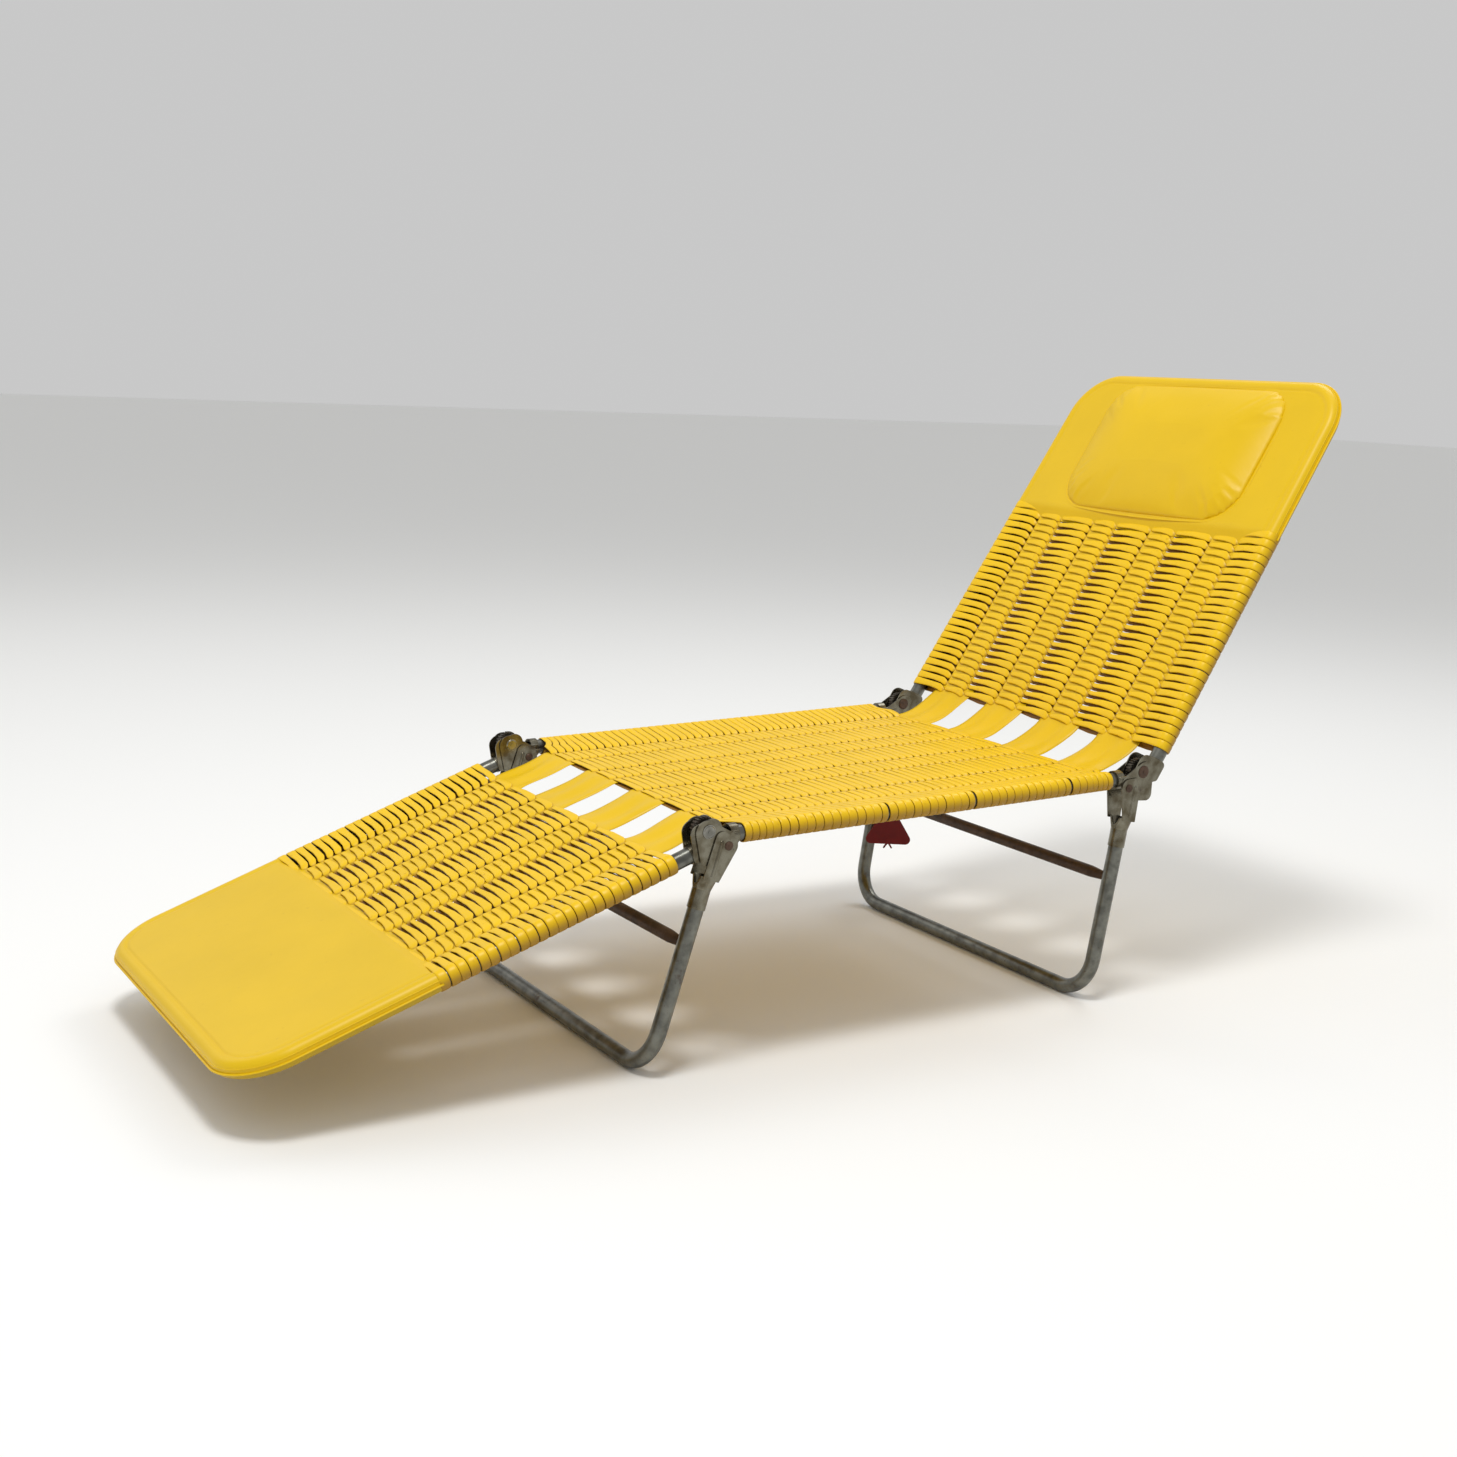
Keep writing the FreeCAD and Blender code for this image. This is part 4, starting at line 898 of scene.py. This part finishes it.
def inflate(obj, panel, centre, base, settings, half_x, half_y):
    """Remeshes a closed bag, blows it up with the Cloth solver, its welded edge held, and smooths it."""
    context = bpy.context
    context.view_layer.objects.active = obj
    obj.select_set(True)
    remesh = obj.modifiers.new("even", "REMESH")
    remesh.mode = "VOXEL"
    remesh.voxel_size = VOXEL
    bpy.ops.object.modifier_apply(modifier=remesh.name)
    mesh = obj.data
    rest = vertex_places(mesh)
    local = rest - panel.origin
    v = local @ panel.along
    w = local @ panel.normal
    x = rest[:, 0]
    y = (v - centre) / belly_stretch(x, v - centre, half_x, half_y, settings.belly)
    d = rounded_distance(x, y, half_x, half_y, settings.corner)
    held = (w < base + 2.5 * MM) | (d < 4 * MM)
    group = obj.vertex_groups.new(name="weld")
    group.add(np.nonzero(held)[0].tolist(), 1.0, "REPLACE")
    cloth = obj.modifiers.new("cloth", "CLOTH")
    for key, value in CLOTH.items():
        setattr(cloth.settings, key, value)
    cloth.settings.effector_weights.gravity = 0
    cloth.collision_settings.use_collision = False
    scene = context.scene
    for number in range(1, SIMULATED_FRAMES + 1):
        scene.frame_set(number)
    swollen = vertex_places(obj.evaluated_get(context.evaluated_depsgraph_get()).data)
    scene.frame_set(1)
    obj.modifiers.remove(cloth)
    move = swollen - rest
    size = np.linalg.norm(move, axis=1, keepdims=True)
    place = rest + move * (np.minimum(size, LARGEST_SWELL) / np.maximum(size, 1e-9))
    mesh.vertices.foreach_set("co", place.astype(np.float32).ravel())
    mesh.update()
    smooth = obj.modifiers.new("smooth", "SUBSURF")
    smooth.levels = smooth.render_levels = 1
    bpy.ops.object.modifier_apply(modifier=smooth.name)
    obj.vertex_groups.clear()
    mesh = obj.data
    mesh.polygons.foreach_set("use_smooth", np.ones(len(mesh.polygons), dtype=bool))
    obj.select_set(False)


# ---- straps over the hinge gaps ----
STRAP_LAP = 8 * MM  # how far a strap runs on flat under the first rows
STRAP_WAIST = 0.05  # the share of its width that it loses half way along
STRAP_DRIFT = 3.0 * MM  # how far it wanders sideways
STRAP_CURL = 3.2 * MM  # how far its edges wander
STRAP_CREASE = 1.8 * MM  # how deep it creases along its middle


def bridge_line(seat_point, seat_way, section_point, section_way, sag, count):
    """A strap's line: flat under the first rows at each end, and between them a cubic Bezier that is
    nearly straight, lowered by sag * sin^2(pi t)."""
    start = seat_point + seat_way * STRAP_LAP
    end = section_point + section_way * STRAP_LAP
    reach = 0.16 * np.linalg.norm(end - start)
    p = np.array([start, start + seat_way * reach, end + section_way * reach, end])
    t = np.linspace(0, 1, count)[:, None]
    s = 1 - t
    middle = s ** 3 * p[0] + 3 * s * s * t * p[1] + 3 * s * t * t * p[2] + t ** 3 * p[3]
    middle[:, 2] -= sag * np.sin(math.pi * t[:, 0]) ** 2
    return np.concatenate([seat_point[None], middle, section_point[None]])


def strap_sheet(name, line, centre_x, width, thickness, phase):
    """One flat strap: its line, widened across X, with a soft crease along it and thin rounded edges.

    Half way along it is a few millimetres narrower, its edges wander by a sine, and across it the sheet
    dips by cos(2 pi s).
    """
    count = len(line)
    cols = 17
    s = np.linspace(-1, 1, cols)
    t = np.linspace(0, 1, count)
    ahead = np.gradient(line, axis=0)
    ahead /= np.linalg.norm(ahead, axis=1, keepdims=True)
    up = np.cross(X_AXIS, ahead)
    up = up * np.sign(up[:, 2:3] + 1e-9)
    waist = width / 2 * (1 - STRAP_WAIST * np.sin(math.pi * t))
    drift = STRAP_DRIFT * np.sin(math.pi * t) * np.sin(phase)
    curl = STRAP_CURL * np.sin(2 * math.pi * t + 0.7 * phase) * np.sin(math.pi * t)
    x = centre_x + drift[:, None] + waist[:, None] * s + curl[:, None] * s ** 2
    dip = STRAP_CREASE * np.sin(math.pi * t)[:, None] * np.cos(2 * math.pi * s + phase)
    edge = 0.5 * thickness * np.sqrt(np.clip(1 - s ** 12, 0.05, 1))
    base = line[:, None, :] + up[:, None, :] * dip[..., None]
    base = base * [0, 1, 1] + x[..., None] * X_AXIS
    top = base + up[:, None, :] * edge[None, :, None]
    low = base - up[:, None, :] * edge[None, :, None]
    ring = np.concatenate([top, low[:, ::-1]], axis=1)
    faces = grid_faces(count, 2 * cols, close_cols=True).tolist()
    cap = np.arange(2 * cols)
    faces += [cap[::-1].tolist(), (cap + (count - 1) * 2 * cols).tolist()]
    return add_piece(name, ring, faces, finish("strap"))


class LOUNGER_OT_bridges(bpy.types.Operator):
    """Lays the flat straps that carry the weave over each hinge gap"""
    bl_idname = "lounger.bridges"
    bl_label = "Strap bridges"

    def execute(self, context):
        settings = context.scene.lounger_bridge
        seat = PANELS["seat"]
        zero = np.zeros(1)
        for name, section, seat_v, seat_sign in (
                ("front", PANELS["foot"], SEAT_WEAVE_EDGE, -1),
                ("rear", PANELS["back"], SEAT_SPAN - SEAT_WEAVE_EDGE, 1)):
            seat_point = seat.place(zero, zero + seat_v - seat_sign * STRAP_LAP, zero)[0]
            section_point = section.place(zero, zero + SECTION_WEAVE_EDGE + STRAP_LAP, zero)[0]
            line = bridge_line(seat_point, seat.along * seat_sign, section_point, -section.along,
                               settings.sag, 28)
            for number, place in enumerate(STRAP_PLACES):
                strap = strap_sheet("%s_bridge_strap_%d" % (name, number + 1), line, place, settings.width,
                                    settings.thickness, 1.1 * number)
                recalculated(strap)
                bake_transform(strap)
                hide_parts(name + "_strap_bridges")
        return {"FINISHED"}


def recalculated(obj):
    """Points every face of a closed mesh outwards."""
    held = bmesh.new()
    held.from_mesh(obj.data)
    bmesh.ops.recalc_face_normals(held, faces=held.faces)
    held.to_mesh(obj.data)
    held.free()


# ---- finishes on the frame's own nodes ----
NODE_FINISHES = {"steel_tube": "tube", "pressed_steel": "pressed", "ratchet_steel": "ratchet",
                 "rivet_steel": "rivet", "tag_plastic": "tag", "ring_wire": "wire", "pvc_strap": "strap",
                 "pvc_sheet": "sheet", "pvc_pad": "sheet", "woven_strip": "strip"}
RUSTED_NODES = {"front_crossbar": "rusted", "rear_crossbar": "rusted", "front_leg_rivets": "dark rivet",
                "rear_leg_rivets": "dark rivet", "rear_hinge_rivets": "dark rivet"}


class LOUNGER_OT_finishes(bpy.types.Operator):
    """Gives every piece of the frame its metal or plastic finish"""
    bl_idname = "lounger.finishes"
    bl_label = "Frame finishes"

    def execute(self, context):
        slots = {part["node"]: part["material_slot"] for part in frame["record"]["subparts"]}
        for node, obj in frame["nodes"].items():
            obj.data.materials.clear()
            kind = RUSTED_NODES.get(node, NODE_FINISHES[slots[node]])
            obj.data.materials.append(finish(kind))
        return {"FINISHED"}


# ---- stage ----
SKY_STRENGTH = 0.58
AIM = Vector((0, 0, 0.3))
# each lamp's place in metres, its side in metres and its power in watts
LAMPS = (("key", (0.9, -0.9, 4.2), 1.0, 86),
         ("fill", (-3.2, -1.6, 2.6), 2.4, 10),
         ("rim", (-1.2, 2.4, 3.4), 1.6, 26))
CAMERA_PLACE = Vector((2.10627, -1.11171 + FOOT_HINGE[1], 0.82182))
CAMERA_YAW, CAMERA_PITCH, CAMERA_ROLL = (math.radians(a) for a in (58.17, 10.62, 2.51))


def camera_turn(yaw, pitch, roll):
    """The turn of a camera that looks along +Y, then yaws to the left, pitches down and rolls."""
    forward = Vector((-math.sin(yaw) * math.cos(pitch), math.cos(yaw) * math.cos(pitch), -math.sin(pitch)))
    level = Vector((math.cos(yaw), math.sin(yaw), 0))
    up = level.cross(forward)
    right = level * math.cos(roll) + up * math.sin(roll)
    top = up * math.cos(roll) - level * math.sin(roll)
    return Matrix((right, top, -forward)).transposed().to_4x4()


class LOUNGER_OT_stage(bpy.types.Operator):
    """Sets the pale floor, the soft lights and the camera"""
    bl_idname = "lounger.stage"
    bl_label = "Stage"

    def execute(self, context):
        settings = context.scene.lounger_stage
        scene = context.scene
        half = settings.floor / 2
        paper = new_material("painted_studio_floor", Roughness=0.9,
                             Base_Color=context.scene.lounger_colours.floor)[0]
        corners = np.array([[-half, -half, 0], [half, -half, 0], [half, half, 0], [-half, half, 0]])
        floor = add_piece("studio_floor", corners, np.array([[0, 1, 2, 3]]), paper, smooth=False)
        world = bpy.data.worlds.new("studio")
        world.use_nodes = True
        background = world.node_tree.nodes["Background"]
        background.inputs[0].default_value = (1, 1, 1, 1)
        background.inputs[1].default_value = SKY_STRENGTH
        scene.world = world
        for name, place, size, power in LAMPS:
            lamp = bpy.data.lights.new(name, "AREA")
            lamp.size = size
            lamp.energy = power
            obj = bpy.data.objects.new(name, lamp)
            obj.location = place
            obj.rotation_euler = (AIM - Vector(place)).to_track_quat("-Z", "Y").to_euler()
            scene.collection.objects.link(obj)
        lens = bpy.data.cameras.new("view")
        lens.lens = settings.lens
        lens.sensor_width = 36
        lens.clip_end = 50
        camera = bpy.data.objects.new("view", lens)
        turn = camera_turn(CAMERA_YAW, CAMERA_PITCH, CAMERA_ROLL)
        camera.matrix_world = Matrix.Translation(CAMERA_PLACE) @ turn
        scene.collection.objects.link(camera)
        scene.camera = camera
        scene.view_settings.view_transform = "Standard"
        return {"FINISHED"}


class LOUNGER_PT_panel(bpy.types.Panel):
    """Lists the lounger's steps"""
    bl_label = "Sun Lounger"
    bl_idname = "LOUNGER_PT_panel"
    bl_space_type = "VIEW_3D"
    bl_region_type = "UI"
    bl_category = "Lounger"

    def draw(self, context):
        for operator in OPERATORS:
            self.layout.operator(operator.bl_idname)
        for name, group in SETTINGS.items():
            box = self.layout.box()
            for key in group.__annotations__:
                box.prop(getattr(context.scene, name), key)


OPERATORS = (LOUNGER_OT_finishes, LOUNGER_OT_weave, LOUNGER_OT_covers, LOUNGER_OT_pillow,
             LOUNGER_OT_bridges, LOUNGER_OT_stage)
SETTINGS = {"lounger_colours": ColourSettings, "lounger_weave": WeaveSettings,
            "lounger_cover": CoverSettings, "lounger_pillow": PillowSettings,
            "lounger_bridge": BridgeSettings, "lounger_stage": StageSettings}


def register():
    for group in SETTINGS.values():
        bpy.utils.register_class(group)
    for name, group in SETTINGS.items():
        setattr(bpy.types.Scene, name, PointerProperty(type=group))
    for operator in OPERATORS:
        bpy.utils.register_class(operator)
    bpy.utils.register_class(LOUNGER_PT_panel)


def unregister():
    bpy.utils.unregister_class(LOUNGER_PT_panel)
    for operator in reversed(OPERATORS):
        bpy.utils.unregister_class(operator)
    for name, group in SETTINGS.items():
        delattr(bpy.types.Scene, name)
        bpy.utils.unregister_class(group)


def main():
    register()
    for operator in OPERATORS:
        group, name = operator.bl_idname.split(".")
        getattr(getattr(bpy.ops, group), name)()


if __name__ == "__main__":
    main()
